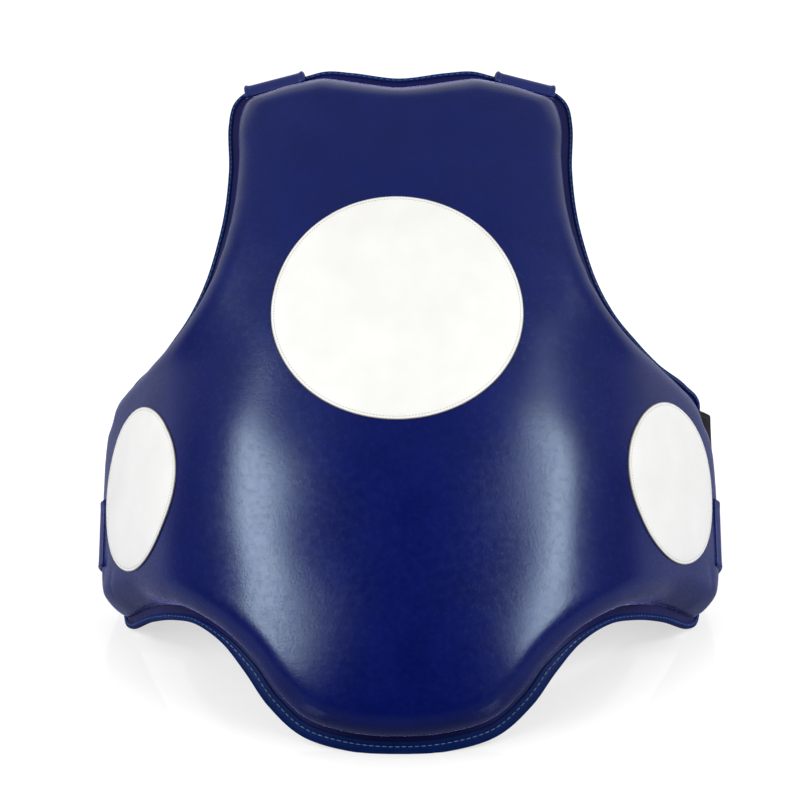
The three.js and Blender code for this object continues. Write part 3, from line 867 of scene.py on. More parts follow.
class StitchTree:
    """Geometry Nodes that lay stitches along seams."""

    sizes = ("Pitch", "Length", "Width", "Height")

    def __init__(self) -> None:
        """Builds the tree, with an input for each size."""
        self.tree = bpy.data.node_groups.new("stitches_along_seams", "GeometryNodeTree")
        self.inputs = {}
        self._socket("Seams", "NodeSocketGeometry")
        for name in self.sizes:
            self._socket(name, "NodeSocketFloat")
        self._socket("Thread", "NodeSocketMaterial")
        self.tree.interface.new_socket("Stitches", in_out="OUTPUT", socket_type="NodeSocketGeometry")
        self._wire()

    def _socket(self, name: str, kind: str) -> None:
        """Adds an input and keeps its identifier."""
        socket = self.tree.interface.new_socket(name, in_out="INPUT", socket_type=kind)
        self.inputs[name] = socket.identifier

    def _wire(self) -> None:
        """Adds and joins the nodes, from the seams to the stitches."""
        add = Nodes(self.tree).add
        given = add("NodeGroupInput").outputs
        curves = add("GeometryNodeMeshToCurve", {"Mesh": given["Seams"]})
        places = add(
            "GeometryNodeCurveToPoints", {"Curve": curves.outputs[0], "Length": given["Pitch"]}, mode="LENGTH"
        )
        way = add("GeometryNodeInputNamedAttribute", {"Name": FACE_WAY}, data_type="FLOAT_VECTOR")
        ways = {0: places.outputs["Tangent"], 1: way.outputs["Attribute"]}
        turn = add("FunctionNodeAxesToRotation", ways, primary_axis="X", secondary_axis="Z")
        bead = add("GeometryNodeMeshUVSphere", {"Segments": 8, "Rings": 6, "Radius": 0.5})
        size = add(
            "ShaderNodeCombineXYZ", {"X": given["Length"], "Y": given["Width"], "Z": given["Height"]}
        )
        stitch = add(
            "GeometryNodeTransform", {"Geometry": bead.outputs["Mesh"], "Scale": size.outputs["Vector"]}
        )
        laid = add("GeometryNodeInstanceOnPoints", {
            "Points": places.outputs["Points"],
            "Instance": stitch.outputs["Geometry"],
            "Rotation": turn.outputs["Rotation"],
        })
        real = add("GeometryNodeRealizeInstances", {"Geometry": laid.outputs["Instances"]})
        smooth = add("GeometryNodeSetShadeSmooth", {"Geometry": real.outputs["Geometry"]})
        worn = add(
            "GeometryNodeSetMaterial", {"Geometry": smooth.outputs["Geometry"], "Material": given["Thread"]}
        )
        add("NodeGroupOutput", {"Stitches": worn.outputs["Geometry"]})

    def piece(self, name: str, seams: list[Seam], stitch: Stitch, thread: Material) -> Piece:
        """Sews along seams.

        Args:
            name: the piece's name.
            seams: the lines to sew.
            stitch: size of the stitches.
            thread: their material.

        Returns:
            The stitches as one plain mesh.
        """
        guide = linked(f"{name}_guide", self._guide(seams))
        modifier = guide.modifiers.new("stitches", "NODES")
        modifier.node_group = self.tree
        values = (stitch.pitch, stitch.length, stitch.width, stitch.height)
        for size, value in zip(self.sizes, values):
            modifier[self.inputs[size]] = value * MILLIMETRE
        modifier[self.inputs["Thread"]] = thread
        mesh = evaluated_mesh(guide, name)
        guide.modifiers.remove(modifier)
        bpy.data.objects.remove(guide)
        return linked(name, mesh)

    @staticmethod
    def _guide(seams: list[Seam]) -> Mesh:
        """Edges along the seams, with the way that each point faces."""
        edges = []
        start = 0
        for seam in seams:
            count = len(seam.points)
            edges += [(start + i, start + i + 1) for i in range(count - 1)]
            if seam.closed:
                edges.append((start + count - 1, start))
            start += count
        mesh = bpy.data.meshes.new("seam_guide")
        points = np.vstack([seam.points for seam in seams]) * MILLIMETRE
        mesh.from_pydata(points.tolist(), edges, [])
        ways = mesh.attributes.new(FACE_WAY, "FLOAT_VECTOR", "POINT")
        ways.data.foreach_set("vector", np.vstack([seam.ways for seam in seams]).ravel())
        return mesh


@dataclass(frozen=True)
class Crease:
    """A pucker in the pad's leather, unrolled: its ends, depth and half width in millimetres."""

    start: tuple[float, float]
    end: tuple[float, float]
    depth: float
    width: float

    # Shares of its length between which its depth rises and falls
    changing = (0.05, 0.95)

    def drop(self, flat: Array) -> Array:
        """How far the leather sinks at unrolled points."""
        start = np.array(self.start)
        way = np.array(self.end) - start
        part = np.clip(((flat - start) @ way) / (way @ way), 0.0, 1.0)
        aside = np.linalg.norm(flat - start - part[:, None] * way, axis=1)
        along = np.sin(math.pi * np.clip(part, *self.changing))
        return self.depth * np.exp(-((aside / self.width) ** 2)) * along


@dataclass
class BodyPad:
    """The foam pad under navy leather, with rolled edges and puckers at the wing corners."""

    panel: Panel
    edge: Edge
    grid: PadGrid
    belly_depth: float = 36.0
    chest_depth: float = 30.0
    wing_depth: float = 28.0
    chest_span: Span = (200.0, 420.0)
    wing_span: Span = (150.0, 260.0)
    roll_width: float = 26.0
    roll_power: float = 2.4
    rear_roll: float = 17.0
    rear_across: Span = (270.0, 300.0)
    rear_along: Span = (160.0, 195.0)
    corner_rolls: Span = (8.0, 34.0)
    corner_reach: float = 55.0
    neck_power: float = 1.35
    neck_span: Span = (530.0, 575.0)
    hem_power: float = 1.4
    hem_across: Span = (190.0, 250.0)
    hem_along: Span = (142.0, 170.0)
    lip: float = 0.7
    slack: float = 0.96
    sewn_margin: float = 0.5
    swell_cap: float = 2.0
    evening: int = 30
    pressure: float = 4.0
    frames: int = 20
    ripple: float = 0.3
    ripple_reach: float = 11.0
    sway: float = 0.45
    loop_points: int = 700
    loop: Array = field(init=False)

    # Gathers along the edge: distance in to their full height, and lengths of their waves for each radian
    gather_rise = 4.0
    gather_length = 4.3
    drift = 1.7
    drift_length = 31.0
    bunch_length = 47.0
    bunch_shift = 0.6

    # Sway of the leather: lengths across and along of two waves for each radian, a shift and a calm margin
    sway_rising = (23.0, 61.0)
    sway_falling = (57.0, 19.0)
    sway_shift = 1.3
    sway_margin = 30.0

    def __post_init__(self) -> None:
        """Lays out the pad's edge."""
        self.loop = self.edge.pad_edge(self.edge.even_rows(self.loop_points))

    @property
    def base(self) -> float:
        """Height of the pad's underside off the panel's middle."""
        return self.panel.thickness / 2 + CLEARANCE

    def thickness(self, flat: Array) -> Array:
        """Thickness of the pad at unrolled points."""
        across = np.abs(flat[:, 0])
        along = flat[:, 1]
        front = self.belly_depth + (self.chest_depth - self.belly_depth) * eased(along, self.chest_span)
        full = front + (self.wing_depth - front) * eased(across, self.wing_span)
        rear = eased(across, self.rear_across) * eased(along, self.rear_along)
        width = self.roll_width + (self.rear_roll - self.roll_width) * rear
        gap = np.hypot(across - OUTLINE[Corner.HIGH_CORNER][0], along - OUTLINE[Corner.HIGH_CORNER][1])
        corner_roll = np.where(flat[:, 0] < 0.0, *self.corner_rolls)
        width = width + corner_roll * np.exp(-((gap / self.corner_reach) ** 2))
        hem = eased(across, self.hem_across) * (1.0 - eased(along, self.hem_along))
        power = self.roll_power + (self.neck_power - self.roll_power) * eased(along, self.neck_span)
        power = power + (self.hem_power - power) * hem
        distance = nearest_on_loop(flat, self.loop)[0]
        inside = 1.0 - np.minimum(distance / width, 1.0)
        return self.lip + (full - self.lip) * (1.0 - inside**power) ** (1.0 / power)

    def top(self, flat: Array) -> Array:
        """Height of the pad's top off the panel's middle."""
        return self.base + self.thickness(flat)

    def build(self, finish: Material, creases: tuple[Crease, ...]) -> Piece:
        """Makes the pad: swells its cover, smooths it and sews in its puckers.

        Args:
            finish: the pad's leather.
            creases: puckers in the leather.

        Returns:
            The pad.
        """
        flat = self.grid.points
        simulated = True
        share = self.slack if simulated else 1.0
        low = self.panel.lifted(flat, np.full(len(flat), self.base))
        high = self.panel.lifted(flat, self.base + self.thickness(flat) * share)
        shape = stacked(high, low, self.grid.quads)
        shape.finish = None
        pad = shape.piece("pad", finish)
        unrolled = pad.data.attributes.new("unrolled", "FLOAT2", "POINT")
        unrolled.data.foreach_set("vector", np.tile(flat, (2, 1)).ravel())
        if simulated:
            self._swell(pad)
        smooth = pad.modifiers.new("smooth", "SUBSURF")
        smooth.levels = 1
        smooth.render_levels = 1
        pad.data = evaluated_mesh(pad, "pad")
        pad.modifiers.clear()
        self._pucker(pad.data, creases)
        dressed(pad, "pad_leather", "body_pad")
        return pad

    def _swell(self, pad: Piece) -> None:
        """Blows up the cover as cloth that is sewn down at its edge, then evens and limits its moves."""
        count = len(pad.data.vertices)
        before = values_of(pad.data.vertices, "co", 3)
        distance = nearest_on_loop(self.grid.points, self.loop)[0]
        sewn = pad.vertex_groups.new(name="sewn")
        held = np.flatnonzero(distance < self.sewn_margin).tolist() + list(range(count // 2, count))
        sewn.add(held, 1.0, "REPLACE")
        cloth = pad.modifiers.new("cloth", "CLOTH")
        settings = cloth.settings
        settings.quality = 6
        settings.mass = 0.4
        settings.tension_stiffness = 40.0
        settings.compression_stiffness = 40.0
        settings.shear_stiffness = 20.0
        settings.bending_stiffness = 12.0
        settings.vertex_group_mass = sewn.name
        settings.use_pressure = True
        settings.uniform_pressure_force = self.pressure
        settings.effector_weights.gravity = 0.0
        cloth.collision_settings.use_collision = False
        cloth.point_cache.frame_start = 1
        cloth.point_cache.frame_end = self.frames
        scene = bpy.context.scene
        for number in range(1, self.frames + 1):
            scene.frame_set(number)
        swollen = evaluated_mesh(pad, "swollen")
        after = values_of(swollen.vertices, "co", 3)
        pad.modifiers.clear()
        pad.vertex_groups.clear()
        bpy.data.meshes.remove(swollen)
        scene.frame_set(1)
        move = self._evened(pad.data, after - before, held)
        length = np.maximum(np.linalg.norm(move, axis=1, keepdims=True), 1e-9)
        cap = self.swell_cap * MILLIMETRE
        move *= cap * np.tanh(length / cap) / length
        pad.data.vertices.foreach_set("co", (before + move).ravel())
        pad.data.update()
        log.info("pad cover swelled by up to %.1f mm", length.max() / MILLIMETRE)

    def _evened(self, mesh: Mesh, move: Array, held: list[int]) -> Array:
        """Evens out the moves of a mesh's points with those of their neighbours.

        Args:
            mesh: the mesh.
            move: how far each point moves.
            held: points that stay where they are.

        Returns:
            The evened moves.
        """
        ends = np.empty(2 * len(mesh.edges), int)
        mesh.edges.foreach_get("vertices", ends)
        one, other = ends.reshape(-1, 2).T
        neighbours = np.bincount(ends, minlength=len(move))[:, None]
        for _ in range(self.evening):
            total = np.zeros_like(move)
            np.add.at(total, one, move[other])
            np.add.at(total, other, move[one])
            move = (move + total / neighbours) / 2
            move[held] = 0.0
        return move

    def _pucker(self, mesh: Mesh, creases: tuple[Crease, ...]) -> None:
        """Moves the leather in and out: gathers along the sewn edge, a slow sway and the puckers."""
        points = values_of(mesh.vertices, "co", 3)
        ways = values_of(mesh.vertices, "normal", 3)
        flat = values_of(mesh.attributes["unrolled"].data, "vector", 2)
        outward = self.panel.turned(self.panel.directions(flat)[2])
        front = np.clip((ways * outward).sum(axis=1), 0.0, 1.0)
        distance, place = nearest_on_loop(flat, self.loop)
        begun = np.minimum(distance / self.gather_rise, 1.0)
        gather = np.exp(-((distance / self.ripple_reach) ** 2)) * begun
        drift = self.drift * np.sin(place / self.drift_length)
        bunch = np.sin(place / self.bunch_length + self.bunch_shift)
        wave = np.sin(place / self.gather_length + drift) * bunch
        rising = flat[:, 0] / self.sway_rising[0] + flat[:, 1] / self.sway_rising[1]
        falling = flat[:, 1] / self.sway_falling[1] - flat[:, 0] / self.sway_falling[0] + self.sway_shift
        slow = np.sin(rising) * np.sin(falling) * np.minimum(distance / self.sway_margin, 1.0)
        lift = self.ripple * gather * wave + self.sway * slow
        for crease in creases:
            lift -= crease.drop(flat)
        points += ways * (lift * front)[:, None] * MILLIMETRE
        mesh.vertices.foreach_set("co", points.ravel())
        mesh.attributes.remove(mesh.attributes["unrolled"])
        mesh.update()


@dataclass
class BackingPanel:
    """The panel under the pad: leather flange in front, cloth lining behind."""

    panel: Panel
    edge: Edge
    grid: PadGrid
    ring_steps: int = 5
    merge: float = 20.0

    def build(self, flange: Material, lining: Material) -> Piece:
        """Makes the panel with its flange.

        Args:
            flange: finish of the front.
            lining: finish of the back.

        Returns:
            The panel.
        """
        rows = self.grid.loop_rows
        shares = np.linspace(1.0, 0.0, self.ring_steps + 1)
        rings = [self.edge.inset(rows, share) for share in shares]
        count = len(rows)
        ring_quads = []
        for step in range(self.ring_steps):
            for i in range(count):
                after = (i + 1) % count
                inner = step * count
                outer = inner + count
                ring_quads.append((outer + i, outer + after, inner + after, inner + i))
        points = np.vstack([self.grid.points, *rings])
        quads = np.vstack([self.grid.quads, np.array(ring_quads) + len(self.grid.points)])
        points, places = merged(points, self.merge)
        half = np.full(len(points), self.panel.thickness / 2)
        shape = stacked(self.panel.lifted(points, half), self.panel.lifted(points, -half), places[quads])
        shape.points[:, 2] = np.maximum(shape.points[:, 2], 0.0)
        return dressed(shape.piece("backing", flange, lining), "lining", "backing_panel")


@dataclass
class Binding:
    """Tape folded round the edge of the panel, sewn through both faces."""

    edge: Edge
    width: float = 4.4
    lobe_width: float = 9.2
    yoke_width: float = 3.0
    yoke_span: Span = (300.0, 380.0)
    inside: float = 1.25
    outside: float = 2.5
    nose_share: float = 0.3
    sections: int = 900
    seam_share: float = 0.5
    stitch_sink: float = 0.15

    def _profile(self) -> Array:
        """Section of the tape, all round: share of its width in from the edge, and height off the middle."""
        turns = np.radians(np.linspace(-90.0, 90.0, 9))
        nose = [(-self.nose_share * math.cos(turn), self.outside * math.sin(turn)) for turn in turns]
        face = [
            (0.2, self.outside + 0.1),
            (self.seam_share - 0.16, self.outside),
            (self.seam_share, self.outside - 0.25),
            (self.seam_share + 0.16, self.outside - 0.05),
            (0.94, self.outside - 0.25),
            (1.0, self.outside - 0.75),
            (1.0, self.inside),
        ]
        under = [(share, -off) for share, off in reversed(face)]
        inner = [(-0.05, self.inside), (-0.05, -self.inside)]
        return np.array(under + nose + face + inner)

    def _widths(self, rows: Array) -> Array:
        """Width of the tape's faces, which is greater at the lobe and less at the armholes and neck."""
        along = self.edge.at(rows)[:, 1]
        beyond_lobe = (self.width - self.lobe_width) * eased(along, self.edge.panel.lobe_span)
        return self.lobe_width + beyond_lobe + (self.yoke_width - self.width) * eased(along, self.yoke_span)

    def build(self, finish: Material) -> Piece:
        """Sweeps the tape round the edge."""
        rows = self.edge.even_rows(self.sections)
        point, out, off = self.edge.frames(rows)
        profile = self._profile()
        inward = self._widths(rows)[:, None, None] * profile[None, :, :1]
        sections = point[:, None] - out[:, None] * inward + off[:, None] * profile[None, :, 1:]
        sections[..., 2] = np.maximum(sections[..., 2], 0.0)
        return dressed(swept(sections, True).piece("binding", finish), "binding", "edge_binding")

    def seams(self, start: float, end: float) -> list[Seam]:
        """Lines of sewing on the front and the back of the tape, between two rows of the outline."""
        rows = self.edge.rows_between(start, end, np.linspace(0.0, 1.0, self.sections // 2))
        point, out, off = self.edge.frames(rows)
        middle = point - out * (self._widths(rows) * self.seam_share)[:, None]
        height = self.outside - self.stitch_sink
        return [Seam(middle + off * height * face, off * face, False) for face in (1.0, -1.0)]


@dataclass
class Disc:
    """A leather disc on the pad, sewn near its edge."""

    name: str
    across: float
    along: float
    radius: float
    tall: float = 1.0
    thickness: float = 1.5
    spokes: int = 144
    seam_in: float = 2.6
    seam_points: int = 240
    seam_height: float = 0.86
    seat: float = 0.1
    under_seat: float = 0.05
    drop_height: float = 90.0

    # Shares of the radius at the first and the last inner ring, and their number
    inner_rings = (0.06, 0.86, 14)

    # Rings near the edge: distance in from it and share of full height
    rim = (
        (9.0, 1.0), (4.6, 1.0), (3.2, 0.92), (2.6, 0.82), (2.0, 0.92), (1.2, 0.98),
        (0.5, 0.86), (0.1, 0.6), (0.0, 0.3),
    )

    # How much of the dark edge colour the last three rings and the underside's rim take: it stands for the
    # leather's cut edge and also paints the thin shade where the disc meets the pad
    edge_and_shade_shares = (0.55, 0.9, 1.0, 1.0)

    def _rings(self) -> list[tuple[float, float]]:
        """Radius and share of full height of each ring, from the middle out."""
        inner = [(self.radius * share, 1.0) for share in np.linspace(*self.inner_rings)]
        return inner + [(self.radius - short, height) for short, height in self.rim]

    def _circle(self, count: int) -> Array:
        """Directions round the disc, longer upward where it is taller than wide."""
        turns = 2.0 * math.pi * np.arange(count) / count
        return np.stack([np.cos(turns), np.sin(turns) * self.tall], axis=1)

    def _seats(self, panel: Panel, tree: BVHTree, flat: Array) -> tuple[Array, Array]:
        """Points of the pad's surface below unrolled points, and its outward directions there."""
        outward = panel.turned(panel.directions(flat)[2])
        above = panel.lifted(flat, np.full(len(flat), self.drop_height))
        hits = [
            tree.ray_cast(Vector(point * MILLIMETRE), Vector(-way))[0] for point, way in zip(above, outward)
        ]
        return np.array(hits) / MILLIMETRE, outward

    def build(self, panel: Panel, tree: BVHTree, finish: Material) -> Piece:
        """Lays the disc on the pad.

        Args:
            panel: the panel that the pad is on.
            tree: the pad's surface.
            finish: the disc's leather.

        Returns:
            The disc.
        """
        rings = self._rings()
        circle = self._circle(self.spokes)
        centre = np.array([[self.across, self.along]])
        flat = np.vstack([centre] + [centre + circle * radius for radius, _ in rings])
        base, outward = self._seats(panel, tree, flat)
        share = np.concatenate([[1.0]] + [np.full(self.spokes, height) for _, height in rings])
        over = base + outward * (self.seat + share[:, None] * self.thickness)
        rim_start = len(flat) - self.spokes
        under = base[rim_start:] + outward[rim_start:] * self.under_seat
        faces = self._faces(len(rings))
        shape = Shape(np.vstack([over, under]), faces)
        piece = shape.piece(self.name, finish)
        # Dark rim: the cut edge, and painted shade where the disc meets the pad
        rim = piece.data.attributes.new("cut_edge_and_shade", "FLOAT", "POINT")
        edge_and_shade_values = np.zeros(len(shape.points))
        edge_and_shade_values[-self.spokes * len(self.edge_and_shade_shares):] = np.repeat(self.edge_and_shade_shares, self.spokes)
        rim.data.foreach_set("value", edge_and_shade_values)
        return dressed(piece, "patch_leather", self.name.replace("disc", "patch"))

    def _faces(self, rings: int) -> list[tuple[int, ...]]:
        """Faces of the disc: its top, its rim and its underside."""
        count = self.spokes
        faces = []
        for spoke in range(count):
            after = (spoke + 1) % count
            faces.append((0, 1 + spoke, 1 + after))
            for ring in range(rings):
                inner = 1 + ring * count
                outer = inner + count
                faces.append((inner + spoke, outer + spoke, outer + after, inner + after))
        last = 1 + rings * count
        faces.append(tuple(last + spoke for spoke in reversed(range(count))))
        return faces

    def seam(self, panel: Panel, tree: BVHTree) -> Seam:
        """Line of sewing round the disc."""
        circle = self._circle(self.seam_points) * (self.radius - self.seam_in)
        flat = np.array([[self.across, self.along]]) + circle
        base, outward = self._seats(panel, tree, flat)
        return Seam(base + outward * (self.seat + self.seam_height * self.thickness), outward, True)


@dataclass
class StrapPath:
    """A strap's way: middles and directions across it, in millimetres."""

    points: Array
    wide: Array

    def frames(self) -> tuple[Array, Array]:
        """Directions across the strap and off its face at each middle."""
        ahead = np.empty_like(self.points)
        ahead[1:-1] = self.points[2:] - self.points[:-2]
        ahead[0] = self.points[1] - self.points[0]
        ahead[-1] = self.points[-1] - self.points[-2]
        ahead = unit(ahead)
        wide = unit(self.wide - ahead * (self.wide * ahead).sum(axis=1, keepdims=True))
        return wide, np.cross(ahead, wide)


def smooth_path(points: Array, wide: Array, count: int) -> StrapPath:
    """Even steps on a smooth way through a strap's nodes.

    Args:
        points: middles of the strap at its nodes.
        wide: directions across it there.
        count: number of steps.

    Returns:
        The path.
    """
    places = np.linspace(0.0, len(points) - 1.0, count + 1)
    knots = np.arange(len(points))
    across = np.stack([np.interp(places, knots, wide[:, axis]) for axis in range(3)], axis=1)
    return StrapPath(open_spline(points, places), across)


@dataclass
class Strap:
    """A flat strap with rounded, slightly raised edges."""

    name: str
    path: StrapPath
    width: float
    thickness: float
    outer: float
    bead: float = 0.3
    bead_in: float = 0.6
    bead_reach: float = 1.6
    bead_from: float = 0.4
    seam_in: float = 5.0
    seam_lift: float = 0.02
    seam_short: int = 2

    # Distances in from the rounded edge to the points across a face
    face_steps = (0.6, 1.4, 2.4, 3.6, 5.0, 8.0, 14.0, 20.0)

    def _profile(self) -> Array:
        """Section of the strap: distance across and off its middle, all round."""
        radius = self.thickness / 2
        reach = self.width / 2 - radius
        turns = np.radians(np.linspace(90.0, -90.0, 7))
        edge = np.stack([reach + radius * np.cos(turns), radius * np.sin(turns)], axis=1)
        across = reach - np.array(self.face_steps)
        face = np.stack([across, np.full(len(across), radius)], axis=1)
        upper = np.vstack([face[::-1] * (-1.0, 1.0), face[::-1]])
        upper = upper[np.argsort(upper[:, 0])]
        lower = upper[::-1] * (1.0, -1.0)
        points = np.vstack([upper, edge, lower, edge[::-1] * (-1.0, 1.0)])
        gap = np.abs(points[:, 0]) - reach + self.bead_in
        raised = np.exp(-((gap / self.bead_reach) ** 2)) * self.bead
        outside = points[:, 1] * self.outer > self.bead_from * radius
        points[:, 1] += np.where(outside, raised * self.outer, 0.0)
        return points

    def build(self, finish: Material, slot: str) -> Piece:
        """Sweeps the strap along its path."""
        wide, thick = self.path.frames()
        profile = self._profile()
        offsets = wide[:, None] * profile[None, :, :1] + thick[:, None] * profile[None, :, 1:]
        sections = self.path.points[:, None] + offsets
        sections[..., 2] = np.maximum(sections[..., 2], 0.0)
        return dressed(swept(sections, False).piece(f"{self.name}_piece", finish), slot, self.name)

    def seams(self) -> list[Seam]:
        """Lines of sewing along both edges, on both faces."""
        wide, thick = self.path.frames()
        across = self.width / 2 - self.seam_in
        lift = self.thickness / 2 + self.seam_lift
        sewn = slice(self.seam_short, -self.seam_short)
        lines = []
        for side in (-1.0, 1.0):
            for face in (-1.0, 1.0):
                points = self.path.points + wide * across * side + thick * face * lift
                lines.append(Seam(points[sewn], thick[sewn] * face, False))
        return lines


@dataclass
class Harness:
    """Shoulder straps that cross behind, waist straps that lap behind, and webbing tabs."""

    panel: Panel
    edge: Edge
    pad: BodyPad
    strap_thickness: float = 3.2
    shoulder_width: float = 55.0
    shoulder_places: tuple[float, ...] = (0.015, 0.195, 0.375)
    shoulder_tuck: float = 8.5
    fold_in: float = 1.2
    fold_turn: float = 125.0
    fold_steps: int = 12
    swing_steps: int = 72
    binding_outside: float = 2.9
    crossing_gap: float = 14.0
    waist_width: float = 60.0
    waist_along: float = 205.0
    waist_reach: float = 146.0
    waist_bow: float = 1440.0
    waist_overlap: float = 60.0
    waist_corner: float = 170.0
    waist_sink: float = 2.4
    waist_sewn: Span = (312.0, 324.0)
    waist_steps: int = 112
    tab_width: float = 50.0
    tab_thickness: float = 2.2
    tab_along: float = 302.0
    tab_steps: int = 42

    # Way of a tab round the rear edge of a wing: distance back from the edge and off the panel's middle
    tab_turn = ((-11, 6.2), (3, 7.5), (14, 9.5), (24, 9.5), (30, 2), (28, -8), (20, -22), (12, -36))

    # Where a shoulder strap lines up with the other tab, meets it and ends, in lengths of the tab's last leg
    leg_places = (1.875, 0.875, -0.375)

    # Way of a waist strap past the rear edge: distance back and off, then inward, to the rear and raised
    waist_turn = (14.0, 7.0)
    waist_hang = (12.0, 74.0, 8.0)
    waist_near_middle = 80.0

    def _rear(self, side: Side, along: float) -> tuple[Array, Array, Array, Array]:
        """Point of a wing's rear edge before it flares, with the directions back, up and off the panel."""
        plain = replace(self.panel, flare=0.0)
        flat = np.array([[side.value * OUTLINE[Corner.REAR_MIDDLE][0], along]], float)
        sideways, upward, outward = (plain.turned(way)[0] for way in plain.directions(flat))
        return plain.standing(plain.point(flat))[0], sideways * side.value, upward, outward

    def tab_path(self, side: Side) -> StrapPath:
        """Way of a webbing tab."""
        point, back, up, off = self._rear(side, self.tab_along)
        turn = np.array(self.tab_turn, float)
        nodes = point + turn[:, :1] * back + turn[:, 1:] * off
        return smooth_path(nodes, np.tile(up, (len(nodes), 1)), self.tab_steps)

    def shoulder_path(self, side: Side) -> StrapPath:
        """Way of a shoulder strap: over the neck's edge, across the back and on to the other wing's tab."""
        sign = side.value
        set_back = self.crossing_gap if side is Side.RIGHT else 0.0
        rows = self.edge.rows_between(Corner.SHOULDER, Corner.NECK_MIDDLE, np.array(self.shoulder_places))
        rows = rows if side is Side.RIGHT else self.edge.rows - rows
        points, outs, offs = self.edge.frames(rows)
        point, out, off = points[1], outs[1], offs[1]
        along = unit((points[0] - points[2]) * sign)
        seat = self.binding_outside + CLEARANCE + self.strap_thickness / 2
        turns = np.radians(np.linspace(0.0, self.fold_turn, self.fold_steps + 1))[:, None]
        fold = point + out * (seat * np.sin(turns) - self.fold_in) + off * seat * np.cos(turns)
        tucks = np.linspace(-self.shoulder_tuck, -self.fold_in, 5)[:, None]
        front = point + out * tucks + off * seat
        top = fold[-1]
        rear, back, up, face = self._rear(Side(-sign), self.tab_along)
        turn = np.array(self.tab_turn[-2:], float)
        leg = rear + turn[:, :1] * back + turn[:, 1:] * face
        behind = unit(np.cross(up, leg[1] - leg[0]) * sign)
        lift = behind * (self.tab_thickness / 2 + CLEARANCE + self.strap_thickness / 2)
        leave, settle, end = (leg[0] + place * (leg[1] - leg[0]) + lift for place in self.leg_places)
        end_wide = -up * sign
        # Part of the way, drop, distance to the rear and direction across the strap
        hanging = (
            (0.04, 40.0, 4.0, along),
            (0.17, 98.0, 12.0 + set_back, (0.94, 0.0, -0.34 * sign)),
            (0.38, 150.0, 22.0 + set_back, (0.8, 0.0, -0.6 * sign)),
            (0.62, 205.0, 24.0 + set_back / 2, (0.6, 0.1, -0.8 * sign)),
            (0.85, 248.0, 12.0, (0.35, 0.25, -0.9 * sign)),
        )
        nodes = [top]
        wide = [along]
        for part, drop, aside, across in hanging:
            node = top + part * (leave - top)
            nodes.append(np.array([node[0], node[1] + aside, top[2] - drop]))
            wide.append(np.array(across))
        swing = smooth_path(np.array(nodes + [leave]), np.array(wide + [end_wide]), self.swing_steps)
        lap = np.linspace(leave, settle, 4)[1:]
        last = np.linspace(settle, end, 5)[1:]
        points = np.vstack([front[:-1], fold, swing.points[1:], lap, last])
        across = np.vstack([
            np.tile(along, (len(front) - 1 + len(fold), 1)),
            swing.wide[1:],
            np.tile(end_wide, (len(lap) + len(last), 1)),
        ])
        return StrapPath(points, across)

    def waist_path(self, side: Side) -> StrapPath:
        """Way of a waist strap: from the outside of a wing, round behind and past the middle."""
        sign = side.value
        inset = self.strap_thickness + 2 * CLEARANCE if side is Side.RIGHT else 0.0
        point, back, up, off = self._rear(side, self.waist_along)
        sewn = np.array([[sign * across, self.waist_along] for across in self.waist_sewn])
        seats = self.panel.lifted(sewn, self.pad.top(sewn) - self.waist_sink + self.strap_thickness / 2)
        low = self.waist_width / 2
        inward, rearward, raised = self.waist_hang
        level = (0.0, 0.0, 1.0)
        reach = point[1] + self.waist_reach
        nodes = [
            *seats,
            point + self.waist_turn[0] * back + self.waist_turn[1] * off,
            np.array([point[0] - sign * inward, point[1] + rearward, low + raised]),
            np.array([sign * self.waist_corner, reach - self.waist_corner**2 / self.waist_bow, low]),
        ]
        wide = [up, up, up, (0.0, 0.3, 0.95), level]
        for across in (self.waist_near_middle, 0.0, -self.waist_overlap):
            nodes.append(np.array([sign * across, reach - across**2 / self.waist_bow - inset, low]))
            wide.append(level)
        return smooth_path(np.array(nodes), np.array(wide), self.waist_steps)

    def build(self, finishes: Finishes, sewing: StitchTree) -> None:
        """Makes the straps and tabs and sews them."""
        seams = []
        tab_seams = []
        for side in Side:
            shoulder = Strap(
                f"shoulder_strap_{side.word}", self.shoulder_path(side), self.shoulder_width,
                self.strap_thickness, -1.0, bead=1.1,
            )
            waist = Strap(
                f"waist_strap_{side.word}", self.waist_path(side), self.waist_width,
                self.strap_thickness, float(side.value),
            )
            tab = Strap(
                f"strap_tab_{side.word}", self.tab_path(side), self.tab_width,
                self.tab_thickness, 1.0, bead=0.0,
            )
            for strap in (shoulder, waist):
                strap.build(finishes.strap, "strap_leather")
                seams += strap.seams()
            tab.build(finishes.webbing, "webbing")
            tab_seams += tab.seams()
        stitch = Stitch(4.0, 3.1, 0.7, 0.5)
        dressed(sewing.piece("strap_stitches", seams, stitch, finishes.navy_thread), "strap_leather")
        dressed(sewing.piece("tab_stitches", tab_seams, stitch, finishes.black_thread), "webbing")


@dataclass(frozen=True)
class Bearing:
    """A direction from the part: degrees to the right of the front, and degrees up."""

    azimuth_deg: float
    elevation_deg: float

    def at(self, distance: float) -> Vector:
        """The place at a distance in metres that way."""
        azimuth = math.radians(self.azimuth_deg)
        elevation = math.radians(self.elevation_deg)
        flat = math.cos(elevation)
        return distance * Vector((math.sin(azimuth) * flat, -math.cos(azimuth) * flat, math.sin(elevation)))


